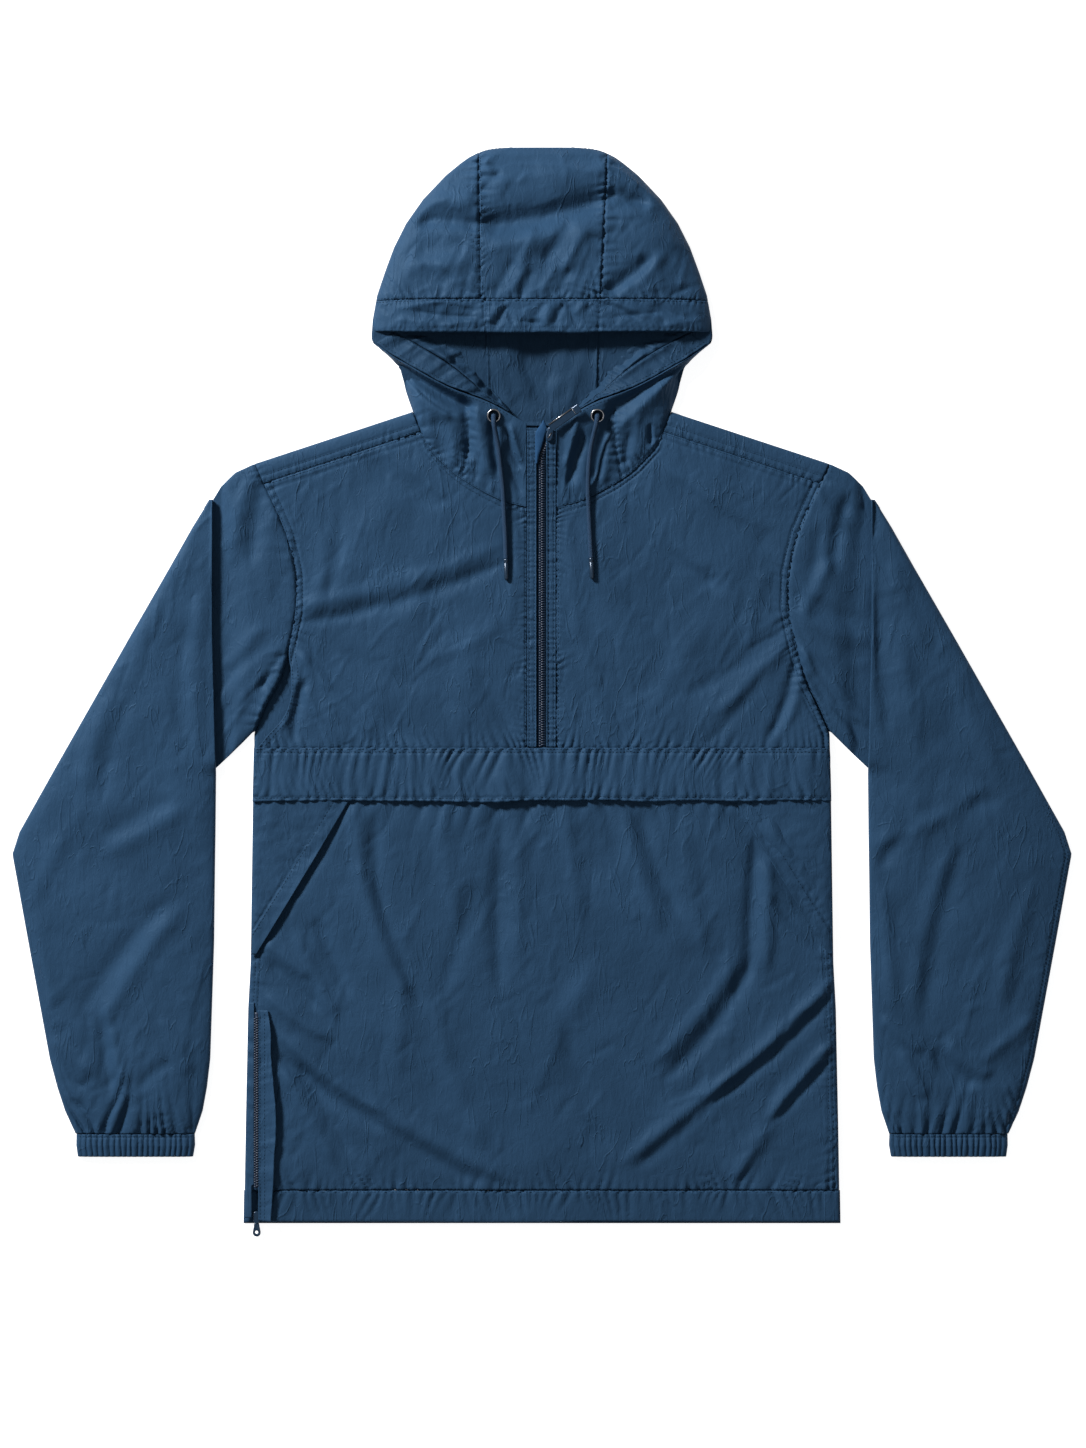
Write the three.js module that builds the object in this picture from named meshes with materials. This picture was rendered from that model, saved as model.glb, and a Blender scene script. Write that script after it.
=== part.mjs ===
// Anorak pullover in woven nylon, laid flat on its back with the arms down. Millimetres, +Z up.
// The wearer's left to right runs along X, the hood points to +Y, and the underside lies on z = 0.
import * as THREE from "three";

// Driving dimensions
const clothWall = 1.2;
const seamGap = 0.4;
const layerGap = 0.3;
const bodyLoft = 6.2;
const bodyEdgeHeight = 3.0;
const bodyEdgeRound = 10;
const crownTopY = 499.6;
const casingSeamY = 357.8;
const brimY = 328.2;
const backNeckDip = 12;
const hemSeamY = -459;
const hemEdgeY = -488;
const backHemEdgeY = -489.4;
const bandTopY = -52.4;
const bandBottomY = -101;
const zipX = -0.5;
const zipHalfWidth = 4.1;
const placketHalfWidth = 13.6;
const zipTopY = 238;
const sideZipX = -262.2;
const sideZipTopY = -295;
const sidePullTipY = -501.4;
const cuffTopY = -407.1;
const cuffEdgeY = -427.8;
const cuffRibs = 21;
const sleeveGathers = 9;
const bandPuckers = 18;
const cordRadius = 2;
const tipRadius = 2.3;

const layerStep = clothWall + layerGap;
const slabTop = clothWall;

// Tables: one row for each section, all in millimetres, for the half on the +X side

// Body silhouette from the hem to the underarm: y, half width
const bodySides = [
  { y: -490, half: 274.5 },
  { y: -400, half: 273 },
  { y: -292, half: 270.8 },
  { y: -250, half: 268.5 },
  { y: -100, half: 266.4 },
  { y: -37, half: 265 },
];

// Armhole of the back and the sleeves from the shoulder's fold to the underarm
const armholeStations = [
  { x: 264, y: 208.8 },
  { x: 255.8, y: 190.4 },
  { x: 235.5, y: 144.4 },
  { x: 227.2, y: 108.6 },
  { x: 226.3, y: 75.4 },
  { x: 233.8, y: 40 },
  { x: 241.5, y: 12 },
  { x: 256, y: -15 },
  { x: 265, y: -37 },
];

// Outer edge of the left front, which draws back at the underarm and leaves a pocket there
const leftFrontStations = [
  ...armholeStations.slice(1, 5),
  { x: 232.5, y: 38 },
  { x: 230.5, y: 16 },
  { x: 231, y: -6 },
  { x: 238, y: -25 },
  { x: 254, y: -43 },
];

// Outer edge of the right front, with a narrow slit at the underarm
const rightFrontStations = [
  ...armholeStations.slice(1, 6),
  { x: 240.8, y: 12 },
  { x: 252.4, y: -15 },
  { x: 263, y: -39 },
];

// Neck seam from the shoulder's fold to the edge of the zip placket
const neckStations = [
  { x: 118.7, y: 256.7 },
  { x: 111.3, y: 238.3 },
  { x: 104, y: 223 },
  { x: 85.6, y: 203.3 },
  { x: 66.2, y: 189.5 },
  { x: 37.7, y: 174.8 },
  { x: 14.1, y: 168.4 },
];

// Hood silhouette above the face opening: y, half width
const hoodSides = [
  { y: 325, half: 157 },
  { y: 341, half: 155.8 },
  { y: 363.4, half: 151.8 },
  { y: 385.5, half: 144.4 },
  { y: 407.6, half: 136.2 },
  { y: 429.6, half: 125.1 },
  { y: 451.7, half: 109.5 },
  { y: 473.8, half: 88.6 },
  { y: 485, half: 75 },
  { y: 490.5, half: 67.3 },
  { y: 494.5, half: 59.5 },
  { y: 497, half: 52.5 },
  { y: 498.6, half: 44 },
  { y: 499.6, half: 32 },
];

// Seams of the hood's middle panel, which draw together towards the brim: y, distance left and right
const crownSeams = [
  { y: 357, left: 56.2, right: 53.4 },
  { y: 496, left: 58, right: 60 },
];

// Hood height along its middle: y, height over the under layer
const hoodHeights = [
  { y: 320, height: 20 },
  { y: 345, height: 20 },
  { y: 375, height: 19.6 },
  { y: 410, height: 18.6 },
  { y: 445, height: 16.4 },
  { y: 475, height: 12 },
  { y: 492, height: 7 },
  { y: 499.6, height: 2.4 },
];

// Lower edge of the face opening, from the corner by the brim to the zip: x, y, z
const openingStations = [
  { x: 156, y: 320, z: 7 },
  { x: 131, y: 303, z: 12.5 },
  { x: 87, y: 278.5, z: 18 },
  { x: 47, y: 263.6, z: 17 },
  { x: 14.1, y: 245, z: 13.8 },
];

// Outline of the hood's neck between the shoulder and the corner of the opening: x, y, z
const neckOutline = [
  { x: 118.7, y: 256.7, z: 3.0 },
  { x: 125, y: 275, z: 3.0 },
  { x: 131, y: 297, z: 3.2 },
  { x: 142, y: 308.5, z: 4.4 },
  { x: 156, y: 320, z: 7 },
];

// Inner edge of the casing seen inside the opening: x, y, z
const innerCasingStations = [
  { x: 143, y: 332, z: 6 },
  { x: 122, y: 322, z: 8.5 },
  { x: 80, y: 296, z: 12 },
  { x: 50, y: 271, z: 11 },
  { x: 30, y: 257, z: 9 },
];

// Line where the inside of each side panel meets the hood's under layer: x, y
const innerFootStations = [
  { x: 108, y: 350, z: 2.9 },
  { x: 92, y: 338, z: 2.9 },
  { x: 66, y: 306, z: 2.9 },
  { x: 48, y: 279, z: 2.9 },
  { x: 34, y: 263, z: 2.9 },
];

// Sleeve below the tuck, from the shoulder to the cuff: y, outer edge, inner edge, height
const sleeveStations = [
  { y: 168, outer: 310.2, inner: 302.8, height: 6.5 },
  { y: 150, outer: 321.4, inner: 302.8, height: 8.5 },
  { y: 113.2, outer: 342.2, inner: 302.8, height: 9.8 },
  { y: 52.4, outer: 377.2, inner: 302.6, height: 10 },
  { y: -69, outer: 446.2, inner: 299.6, height: 9.4 },
  { y: -129.7, outer: 480.2, inner: 300.2, height: 9 },
  { y: -150, outer: 486.7, inner: 300.5, height: 9 },
  { y: -170.2, outer: 483, inner: 300.8, height: 9 },
  { y: -230.9, outer: 472, inner: 301.5, height: 9 },
  { y: -338, outer: 452.3, inner: 305, height: 10 },
  { y: -364, outer: 445.4, inner: 308, height: 10.4 },
  { y: -386, outer: 438.2, inner: 312, height: 10 },
  { y: -406.7, outer: 428.6, inner: 319, height: 7.5 },
];

// Sleeve between the armhole and the tuck, shoulder end and underarm end of each section
const upperSleeveStations = [
  { along: 0, shoulderX: 264, shoulderY: 208.8, underX: 265, underY: -37 },
  { along: 0.35, shoulderX: 282, shoulderY: 200.5, underX: 276, underY: -48.2 },
  { along: 0.7, shoulderX: 295, shoulderY: 188, underX: 288, underY: -59.9 },
  { along: 1, shoulderX: 302.3, shoulderY: 176, underX: 298.8, underY: -70 },
];

// Rows of the front zip and its plackets, closer where they climb onto the hood's neck
const zipRows = [bandTopY + 0.6, 0, 60, 120, 160, 178, 196, 214, zipTopY];

// Rows of the hood's crown panels; the side panels have the first of them alone
const crownRows = [
  casingSeamY + seamGap, 376, 395, 412, 429, 446, 462, 476, 486, 493.5, 497, 498.6, crownTopY - 0.3,
];
const sidePanelRows = 10;

// Flap over the side zip: y, width from its stitched edge
const sideFlapStations = [
  { y: -293, width: 9 },
  { y: -340, width: 13 },
  { y: -400, width: 16 },
  { y: -450, width: 15 },
  { y: hemEdgeY + 1.5, width: 12 },
];

// Outline of the front slider, seen from above
const sliderOutline = [
  [3.4, 229],
  [6.4, 227.8],
  [9.4, 230.6],
  [10.6, 236.5],
  [9, 242],
  [6, 241.8],
  [4.4, 236],
];

// Folded end of the zip tape beside the slider: y, left edge, right edge
const tapeEndStations = [
  { y: 208, left: -5.8, right: -4.2 },
  { y: 216, left: -6.2, right: -2.6 },
  { y: 227, left: -6.2, right: 0.8 },
  { y: 236.5, left: -5.9, right: 3.5 },
  { y: 241, left: -3.2, right: 4.2 },
  { y: 244.5, left: -0.8, right: 3.4 },
  { y: 247.5, left: 0.8, right: 2.1 },
];

// Largest soft folds of the body: from x, y to x, y, half width, height
const bodyFolds = [
  { fromX: -120, fromY: 205, toX: -215, toY: 60, half: 16, height: 1.2 },
  { fromX: -70, fromY: 175, toX: -140, toY: 20, half: 18, height: 0.9 },
  { fromX: -225, fromY: 30, toX: -180, toY: -45, half: 12, height: 1.3 },
  { fromX: 90, fromY: 190, toX: 190, toY: 90, half: 18, height: 1.2 },
  { fromX: 222, fromY: 60, toX: 150, toY: -40, half: 14, height: 1.1 },
  { fromX: 40, fromY: 150, toX: 95, toY: -30, half: 16, height: 0.8 },
  { fromX: 268, fromY: -268, toX: 95, toY: -430, half: 16, height: 1.3 },
  { fromX: 255, fromY: -330, toX: 170, toY: -445, half: 12, height: 1.0 },
  { fromX: -120, fromY: -125, toX: -150, toY: -330, half: 22, height: 1.0 },
  { fromX: 55, fromY: -120, toX: 150, toY: -300, half: 22, height: 1.1 },
  { fromX: -240, fromY: -280, toX: -150, toY: -440, half: 14, height: 1.2 },
];

// Colours and finishes
const shade = (name, color, roughness, metalness = 0) =>
  new THREE.MeshStandardMaterial({ name, color, roughness, metalness });
const nylon = shade("nylon", 0x2f5173, 0.55);
const nylonInside = shade("nylon_inside", 0x26425f, 0.6);
const webbing = shade("webbing", 0x24405c, 0.75);
const zipCoil = shade("zip_coil", 0x1c2b3f, 0.5);
const metal = shade("metal", 0xb9bcc0, 0.3, 1);
const paintedMetal = shade("painted_metal", 0x1b3148, 0.4, 0.5);
const cordYarn = shade("cord", 0x203a58, 0.85);
const tipPlastic = shade("tip", 0x2a3a4d, 0.35);

const garment = new THREE.Group();
const centreShiftY = -(crownTopY + sidePullTipY) / 2;
garment.position.y = centreShiftY;

// Small helpers for numbers and curves

const clamp01 = (t) => Math.min(1, Math.max(0, t));
const mix = (a, b, t) => a + (b - a) * t;
const steps = (count) => Array.from({ length: count + 1 }, (_, i) => i / count);

function smooth(t) {
  const c = clamp01(t);
  return c * c * (3 - 2 * c);
}

// Value of one column of a table at a given place along another column
function lookUp(table, key, place, column) {
  const rising = table[0][key] < table[table.length - 1][key];
  const rows = rising ? table : [...table].reverse();
  if (place <= rows[0][key]) return rows[0][column];
  for (let i = 1; i < rows.length; i += 1) {
    if (place <= rows[i][key]) {
      const t = (place - rows[i - 1][key]) / (rows[i][key] - rows[i - 1][key]);
      return mix(rows[i - 1][column], rows[i][column], t);
    }
  }
  return rows[rows.length - 1][column];
}

// Points of a table as vectors on one side of the garment: side is 1 for +X and -1 for -X
const placed = (stations, side) =>
  stations.map((s) => new THREE.Vector3(side * s.x, s.y, s.z ?? 0));

// A smooth run through the stations, cut into equal steps
function smoothRun(points, count) {
  const curve = new THREE.CatmullRomCurve3(points, false, "centripetal");
  return steps(count).map((t) => curve.getPointAt(t));
}

// The stations themselves with even steps between them, so that neighbours share every corner
function steppedRun(points, count) {
  const between = points.slice(1).flatMap((p, i) =>
    steps(count).slice(1).map((t) => points[i].clone().lerp(p, t)));
  return [points[0].clone(), ...between];
}

const straightRun = (from, to, count) => steps(count).map((t) => from.clone().lerp(to, t));

// Heights of the top layers

function foldHeight(x, y) {
  let height = 0;
  for (const fold of bodyFolds) {
    const runX = fold.toX - fold.fromX;
    const runY = fold.toY - fold.fromY;
    const length = Math.hypot(runX, runY);
    const along = ((x - fold.fromX) * runX + (y - fold.fromY) * runY) / (length * length);
    const across = ((x - fold.fromX) * runY - (y - fold.fromY) * runX) / length;
    const ends = smooth(along * 5 + 0.5) * smooth((1 - along) * 5 + 0.5);
    height += fold.height * ends * Math.exp(-((across / fold.half) ** 2));
  }
  return height;
}

function shoulderDistance(x, y) {
  const [outer, inner] = [armholeStations[0], neckStations[0]];
  const slopeX = inner.x - outer.x;
  const slopeY = inner.y - outer.y;
  return ((y - outer.y) * slopeX - (Math.abs(x) - outer.x) * slopeY) / Math.hypot(slopeX, slopeY);
}

// Outer height of the body's front, rounding down to the sides, the shoulders and the hem
function bodyTop(x, y) {
  const sideDistance = y < 0 ? lookUp(bodySides, "y", y, "half") - Math.abs(x) : bodyEdgeRound;
  const edge = clamp01(Math.min(sideDistance, shoulderDistance(x, y)) / bodyEdgeRound);
  const round = Math.sqrt(1 - (1 - edge) ** 2);
  const hemFall = 1.4 * smooth((-430 - y) / 58);
  const full = bodyLoft + foldHeight(x, y) - hemFall;
  return mix(bodyEdgeHeight, full, round);
}

// Outer height of the hood above the brim
function hoodTop(x, y) {
  const across = clamp01(Math.abs(x) / lookUp(hoodSides, "y", y, "half"));
  const rise = lookUp(hoodHeights, "y", y, "height");
  return slabTop + layerGap + rise * Math.sqrt(Math.max(0, 1 - across ** 4.5));
}

// Height of the zip's line, which climbs from the chest to the chin
const zipTop = (y) => bodyTop(zipX, Math.min(y, 160)) + 8.2 * smooth((y - 150) / 95);

// Walls: a grid of outer points, the same grid moved in by the wall, and the edges between them

function addMesh(name, positions, triangles, material) {
  let volume = 0;
  for (const [a, b, c] of triangles) {
    volume += positions[a].dot(positions[b].clone().cross(positions[c]));
  }
  const index = triangles.flatMap(([a, b, c]) => (volume > 0 ? [a, b, c] : [a, c, b]));
  const geometry = new THREE.BufferGeometry();
  const flat = new Float32Array(positions.flatMap((p) => [p.x, p.y, p.z]));
  geometry.setAttribute("position", new THREE.BufferAttribute(flat, 3));
  geometry.setIndex(index);
  geometry.computeVertexNormals();
  const mesh = new THREE.Mesh(geometry, material);
  mesh.name = name;
  garment.add(mesh);
  return mesh;
}

function closeWall(name, outer, inner, material, ring = false) {
  const rows = outer.length;
  const columns = outer[0].length;
  const positions = [...outer.flat(), ...inner.flat()];
  const at = (layer, j, i) => layer * rows * columns + j * columns + (i % columns);
  const triangles = [];
  const quad = (a, b, c, d) => triangles.push([a, b, c], [a, c, d]);
  const last = ring ? columns : columns - 1;
  for (let j = 0; j < rows - 1; j += 1) {
    for (let i = 0; i < last; i += 1) {
      quad(at(0, j, i), at(0, j, i + 1), at(0, j + 1, i + 1), at(0, j + 1, i));
      quad(at(1, j, i), at(1, j + 1, i), at(1, j + 1, i + 1), at(1, j, i + 1));
    }
  }
  for (let i = 0; i < last; i += 1) {
    quad(at(0, 0, i), at(1, 0, i), at(1, 0, i + 1), at(0, 0, i + 1));
    quad(at(0, rows - 1, i), at(0, rows - 1, i + 1), at(1, rows - 1, i + 1), at(1, rows - 1, i));
  }
  for (let j = 0; j < rows - 1 && !ring; j += 1) {
    quad(at(0, j, 0), at(0, j + 1, 0), at(1, j + 1, 0), at(1, j, 0));
    quad(at(0, j, last), at(1, j, last), at(1, j + 1, last), at(0, j + 1, last));
  }
  return addMesh(name, positions, triangles, material);
}

// Direction across the wall at each point of a grid, taken from its neighbours
function gridNormals(grid, ring = false) {
  const rows = grid.length;
  const columns = grid[0].length;
  return grid.map((row, j) =>
    row.map((_, i) => {
      const left = ring ? row[(i + columns - 1) % columns] : row[Math.max(0, i - 1)];
      const right = ring ? row[(i + 1) % columns] : row[Math.min(columns - 1, i + 1)];
      const below = grid[Math.max(0, j - 1)][i];
      const above = grid[Math.min(rows - 1, j + 1)][i];
      return right.clone().sub(left).cross(above.clone().sub(below)).normalize();
    }),
  );
}

// A grid of plan points set on a height function, with the slope's direction at each
function heightNormals(grid, height) {
  const reach = 0.05;
  return grid.map((row) =>
    row.map((p) => {
      const slopeX = (height(p.x + reach, p.y) - height(p.x - reach, p.y)) / (2 * reach);
      const slopeY = (height(p.x, p.y + reach) - height(p.x, p.y - reach)) / (2 * reach);
      return new THREE.Vector3(-slopeX, -slopeY, 1).normalize();
    }),
  );
}

// Cloth lying on a height function: lift(x, y) is its outer face's height above that function
function layCloth(name, plan, height, material, lift = () => 0, wall = clothWall) {
  const full = (x, y) => height(x, y) + lift(x, y);
  const outer = plan.map((row) => row.map((p) => new THREE.Vector3(p.x, p.y, full(p.x, p.y))));
  const normals = heightNormals(plan, full);
  const inner = outer.map((row, j) => row.map((p, i) => p.clone().addScaledVector(normals[j][i], -wall)));
  return closeWall(name, outer, inner, material);
}

// Cloth through a grid of points in space, its wall on the lower side
function hangCloth(name, outer, material, wall = clothWall) {
  const normals = gridNormals(outer);
  const inner = outer.map((row, j) =>
    row.map((p, i) => p.clone().addScaledVector(normals[j][i], normals[j][i].z > 0 ? -wall : wall)),
  );
  return closeWall(name, outer, inner, material);
}

// A flat tube from rings of points, its wall on the inside
function tubeCloth(name, rings, material, wall = clothWall) {
  const normals = gridNormals(rings, true);
  const middle = rings.map((ring) =>
    ring.reduce((sum, p) => sum.add(p), new THREE.Vector3()).divideScalar(ring.length),
  );
  const checkRow = Math.floor(rings.length / 2);
  const highest = rings[checkRow].reduce((best, p, i, ring) => (p.z > ring[best].z ? i : best), 0);
  const outward = normals[checkRow][highest].z > 0 ? 1 : -1;
  const inner = rings.map((ring, j) =>
    ring.map((p, i) => {
      const moved = p.clone().addScaledVector(normals[j][i], -wall * outward);
      moved.y = mix(moved.y, p.y, j === 0 || j === rings.length - 1 ? 1 : 0);
      moved.z = p.z < middle[j].z ? Math.max(moved.z, p.z + wall * 0.7) : moved.z;
      return moved;
    }),
  );
  return closeWall(name, rings, inner, material, true);
}

// Four-sided patch between runs of points: bottom and top have one count, left and right another
function patch(bottom, top, left, right) {
  const rows = left.length - 1;
  const columns = bottom.length - 1;
  const grid = [];
  for (let j = 0; j <= rows; j += 1) {
    const v = j / rows;
    grid.push([]);
    for (let i = 0; i <= columns; i += 1) {
      const u = i / columns;
      const ruled = bottom[i].clone().lerp(top[i], v).add(left[j].clone().lerp(right[j], u));
      const low = bottom[0].clone().lerp(bottom[columns], u);
      const high = top[0].clone().lerp(top[columns], u);
      grid[j].push(ruled.sub(low.lerp(high, v)));
    }
  }
  return grid;
}

// Draws a patch's edges in by half a seam gap, so that neighbours stay apart
function drawIn(grid, gap = seamGap / 2) {
  const rows = grid.length - 1;
  const columns = grid[0].length - 1;
  const pull = (edge, next) => {
    const away = next.clone().sub(edge).setLength(gap);
    edge.add(away);
  };
  const first = grid.map((row) => row.map((p) => p.clone()));
  for (let j = 0; j <= rows; j += 1) {
    pull(grid[j][0], first[j][1]);
    pull(grid[j][columns], first[j][columns - 1]);
  }
  for (let i = 0; i <= columns; i += 1) {
    pull(grid[0][i], first[1][i]);
    pull(grid[rows][i], first[rows - 1][i]);
  }
  return grid;
}

// A flat sheet on the surface, cut to an outline
function slab(name, outline, material, thickness = clothWall) {
  const shape = new THREE.Shape(outline.map((p) => new THREE.Vector2(p.x, p.y)));
  const geometry = new THREE.ExtrudeGeometry(shape, { depth: thickness, bevelEnabled: false });
  const mesh = new THREE.Mesh(geometry, material);
  mesh.name = name;
  garment.add(mesh);
  return mesh;
}

const sideName = (side) => (side < 0 ? "left" : "right");

// Shared seams, in the same points for both neighbours
const armhole = (side) => placed(armholeStations, side);
const neckSeam = (side) => placed(neckStations, side);
const shoulderSeam = (side) =>
  straightRun(placed([neckStations[1]], side)[0], placed([armholeStations[1]], side)[0], 5);

function addBackPanel() {
  const sides = (side) => bodySides.slice(1, -1).map((s) => new THREE.Vector3(side * s.half, s.y));
  const hemHalf = lookUp(bodySides, "y", hemSeamY, "half");
  const neck = steps(8).map((t) => {
    const x = mix(neckStations[0].x, -neckStations[0].x, t);
    return new THREE.Vector3(x, neckStations[0].y - backNeckDip * Math.sin(Math.PI * t) - seamGap);
  });
  const inset = (p) => new THREE.Vector3(p.x - Math.sign(p.x) * seamGap, p.y);
  slab("back_panel", [
    new THREE.Vector3(-hemHalf, hemSeamY + seamGap),
    new THREE.Vector3(hemHalf, hemSeamY + seamGap),
    ...sides(1),
    ...armhole(1).reverse().map(inset),
    ...neck,
    ...armhole(-1).map(inset),
    ...sides(-1).reverse(),
  ], nylon);
  const edgeHalf = lookUp(bodySides, "y", backHemEdgeY, "half");
  slab("hem_back", [
    new THREE.Vector3(-edgeHalf, backHemEdgeY),
    new THREE.Vector3(edgeHalf, backHemEdgeY),
    new THREE.Vector3(hemHalf, hemSeamY),
    new THREE.Vector3(-hemHalf, hemSeamY),
  ], nylon, clothWall);
}

function addFrontPanel(side) {
  const low = bandTopY - 5;
  const halfAtLow = lookUp(bodySides, "y", low, "half");
  const placketEdge = zipX + side * placketHalfWidth;
  const seamPoints = [...neckSeam(side).slice(1).reverse(), ...shoulderSeam(side).slice(1)];
  seamPoints[0].x = placketEdge;
  const edgeStations = side < 0 ? leftFrontStations : rightFrontStations;
  const outerEdge = [new THREE.Vector3(side * (halfAtLow - 1), low), ...placed(edgeStations, side).reverse()];
  const columns = seamPoints.length - 1;
  const bottom = straightRun(new THREE.Vector3(placketEdge, low), outerEdge[0], columns);
  const inner = straightRun(bottom[0], seamPoints[0], outerEdge.length - 1);
  const plan = drawIn(patch(bottom, seamPoints, inner, outerEdge));
  layCloth(`front_${sideName(side)}`, plan, bodyTop, nylon);
}

function addYoke(side) {
  const [foldIn, seamIn] = neckSeam(side);
  const [foldOut, seamOut] = armhole(side);
  const fold = straightRun(foldIn, foldOut, 5);
  const plan = drawIn(patch(
    shoulderSeam(side),
    fold,
    straightRun(seamIn, foldIn, 4),
    straightRun(seamOut, foldOut, 4),
  ));
  layCloth(`back_yoke_${sideName(side)}`, plan, bodyTop, nylon);
}

// Lower front: one wide pouch panel under the band, with a turned hem
function addPouch() {
  const top = bandTopY - 6;
  const rows = 12;
  const plan = steps(rows).map((v) => {
    const y = mix(hemSeamY + seamGap, top, v);
    const half = lookUp(bodySides, "y", y, "half") - 1;
    const middle = steps(16).map((u) => mix(bodyEdgeRound - half, half - bodyEdgeRound, u));
    const edges = [half - bodyEdgeRound * 0.45, half];
    const across = [...edges.map((x) => -x).reverse(), ...middle, ...edges];
    return across.map((x) => new THREE.Vector3(x, y));
  });
  layCloth("pouch_panel", plan, bodyTop, nylon);
  const hemStart = sideZipX + 4.2;
  const columns = 20;
  const hem = [hemEdgeY, hemSeamY].map((y) => {
    const half = lookUp(bodySides, "y", y, "half") - 1;
    return steps(columns).map((u) => new THREE.Vector3(mix(hemStart, half, u), y));
  });
  layCloth("hem_front", hem, bodyTop, nylon, () => 0.4, 2 * clothWall - 0.4);
}

// Steps that crowd a little towards both ends, where the cloth rounds down
const easeEnds = (u) => mix(u, 0.5 - 0.5 * Math.cos(Math.PI * u), 0.55);

// Height of the band's outer face over the body, lifting off along its lower edge
function bandLift(x, y) {
  const down = clamp01((bandTopY - y) / (bandTopY - bandBottomY));
  const gapeMiddle = 1.6 * Math.exp(-(((x - zipX) / 60) ** 2)) * down;
  const pucker = 0.35 * (1 + Math.cos((2 * Math.PI * bandPuckers * (x + 265)) / 530));
  return layerStep + 1.9 * down + gapeMiddle + pucker;
}

function addBand() {
  const columns = bandPuckers * 4;
  const plan = [bandBottomY, mix(bandBottomY, bandTopY, 0.5), bandTopY].map((y) => {
    const half = lookUp(bodySides, "y", y, "half") - 0.8;
    return steps(columns).map((u) => new THREE.Vector3(mix(-half, half, u), y));
  });
  layCloth("pocket_band", plan, bodyTop, nylon, bandLift);
}

// Facing of each hand opening: a three-sided piece whose slanting edge is free and lifts a little
function addPocketFacing(side) {
  const top = bandBottomY + 7;
  const slantTopX = 173;
  const slantLowY = -242;
  const rows = 8;
  const plan = steps(rows).map((v) => {
    const y = mix(top, slantLowY, v);
    const half = lookUp(bodySides, "y", y, "half") - 1.6;
    const slantX = mix(slantTopX, half - 4, (top - y) / (top - slantLowY));
    const roundStart = Math.max(half - bodyEdgeRound, mix(slantX, half, 0.4));
    const roundMiddle = Math.max(half - bodyEdgeRound * 0.45, mix(slantX, half, 0.75));
    const across = [slantX, mix(slantX, roundStart, 0.5), roundStart, roundMiddle, half];
    return across.map((x) => new THREE.Vector3(side * x, y));
  });
  const edgeGape = (x, y) => {
    const t = clamp01((top - y) / (top - slantLowY));
    const fromEdge = Math.abs(x) - mix(slantTopX, 262, t);
    return layerStep + 1.4 * Math.exp(-fromEdge / 14) * Math.sin(Math.PI * clamp01(t * 1.15 - 0.15));
  };
  layCloth(`pocket_facing_${sideName(side)}`, plan, bodyTop, nylon, edgeGape);
}

// Side zip on the -X side seam: a strip behind it, the coil, and a flap whose inner edge is free
function addSideZip() {
  const stripTop = -286;
  const stripRows = [stripTop, -340, -400, hemSeamY + seamGap, hemEdgeY + 4];
  const strip = stripRows.map((y) => {
    const outer = -lookUp(bodySides, "y", y, "half") + 1;
    const inner = y < hemSeamY + 5 ? sideZipX - 4.4 : sideZipX - 2;
    return steps(2).map((u) => new THREE.Vector3(mix(outer, inner, u), y));
  });
  layCloth("side_zip_strip", strip, bodyTop, nylon, () => layerStep);
  const coil = [sideZipTopY, -376, hemSeamY + 3].map((y) =>
    [-1.4, 1.4].map((dx) => new THREE.Vector3(sideZipX + dx, y)));
  layCloth("side_zip", coil, bodyTop, zipCoil, () => layerStep + layerGap);
  const flap = sideFlapStations.map(({ y, width }) =>
    steps(4).map((u) => new THREE.Vector3(sideZipX + 1.8 + width * u, y)));
  const flapLift = (x) => layerStep + 1.8 * clamp01((x - sideZipX - 1.8) / 14) + 0.4;
  layCloth("side_zip_flap", flap, bodyTop, nylon, flapLift);
}

// Sleeve between the armhole and the tuck: rings that share the armhole's points
function addUpperSleeve(side) {
  const tuckTop = upperSleeveStations[upperSleeveStations.length - 1];
  const armholeRun = armhole(1);
  const count = armholeRun.length - 1;
  const shoulderEnd = (s) => new THREE.Vector3(s.shoulderX, s.shoulderY);
  const underEnd = (s) => new THREE.Vector3(s.underX, s.underY);
  const rings = upperSleeveStations.map((s) => {
    const shoulderBow = shoulderEnd(s).sub(armholeRun[0].clone().lerp(shoulderEnd(tuckTop), s.along));
    const underBow = underEnd(s).sub(armholeRun[count].clone().lerp(underEnd(tuckTop), s.along));
    const top = armholeRun.map((p, i) => {
      const t = i / count;
      const tuck = shoulderEnd(tuckTop).lerp(underEnd(tuckTop), t);
      const place = p.clone().lerp(tuck, s.along);
      place.addScaledVector(shoulderBow, (1 - t) ** 4).addScaledVector(underBow, t ** 4);
      const x = place.x + seamGap * (1 - s.along);
      const round = Math.sqrt(1 - Math.abs(2 * t - 1) ** 5);
      return new THREE.Vector3(side * x, place.y, mix(bodyEdgeHeight, bodyLoft, round));
    });
    const bottom = top.map((p) => new THREE.Vector3(p.x, p.y, 0)).reverse();
    return [...top, ...bottom];
  });
  tubeCloth(`sleeve_${sideName(side)}_upper`, rings, nylon);
}

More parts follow.
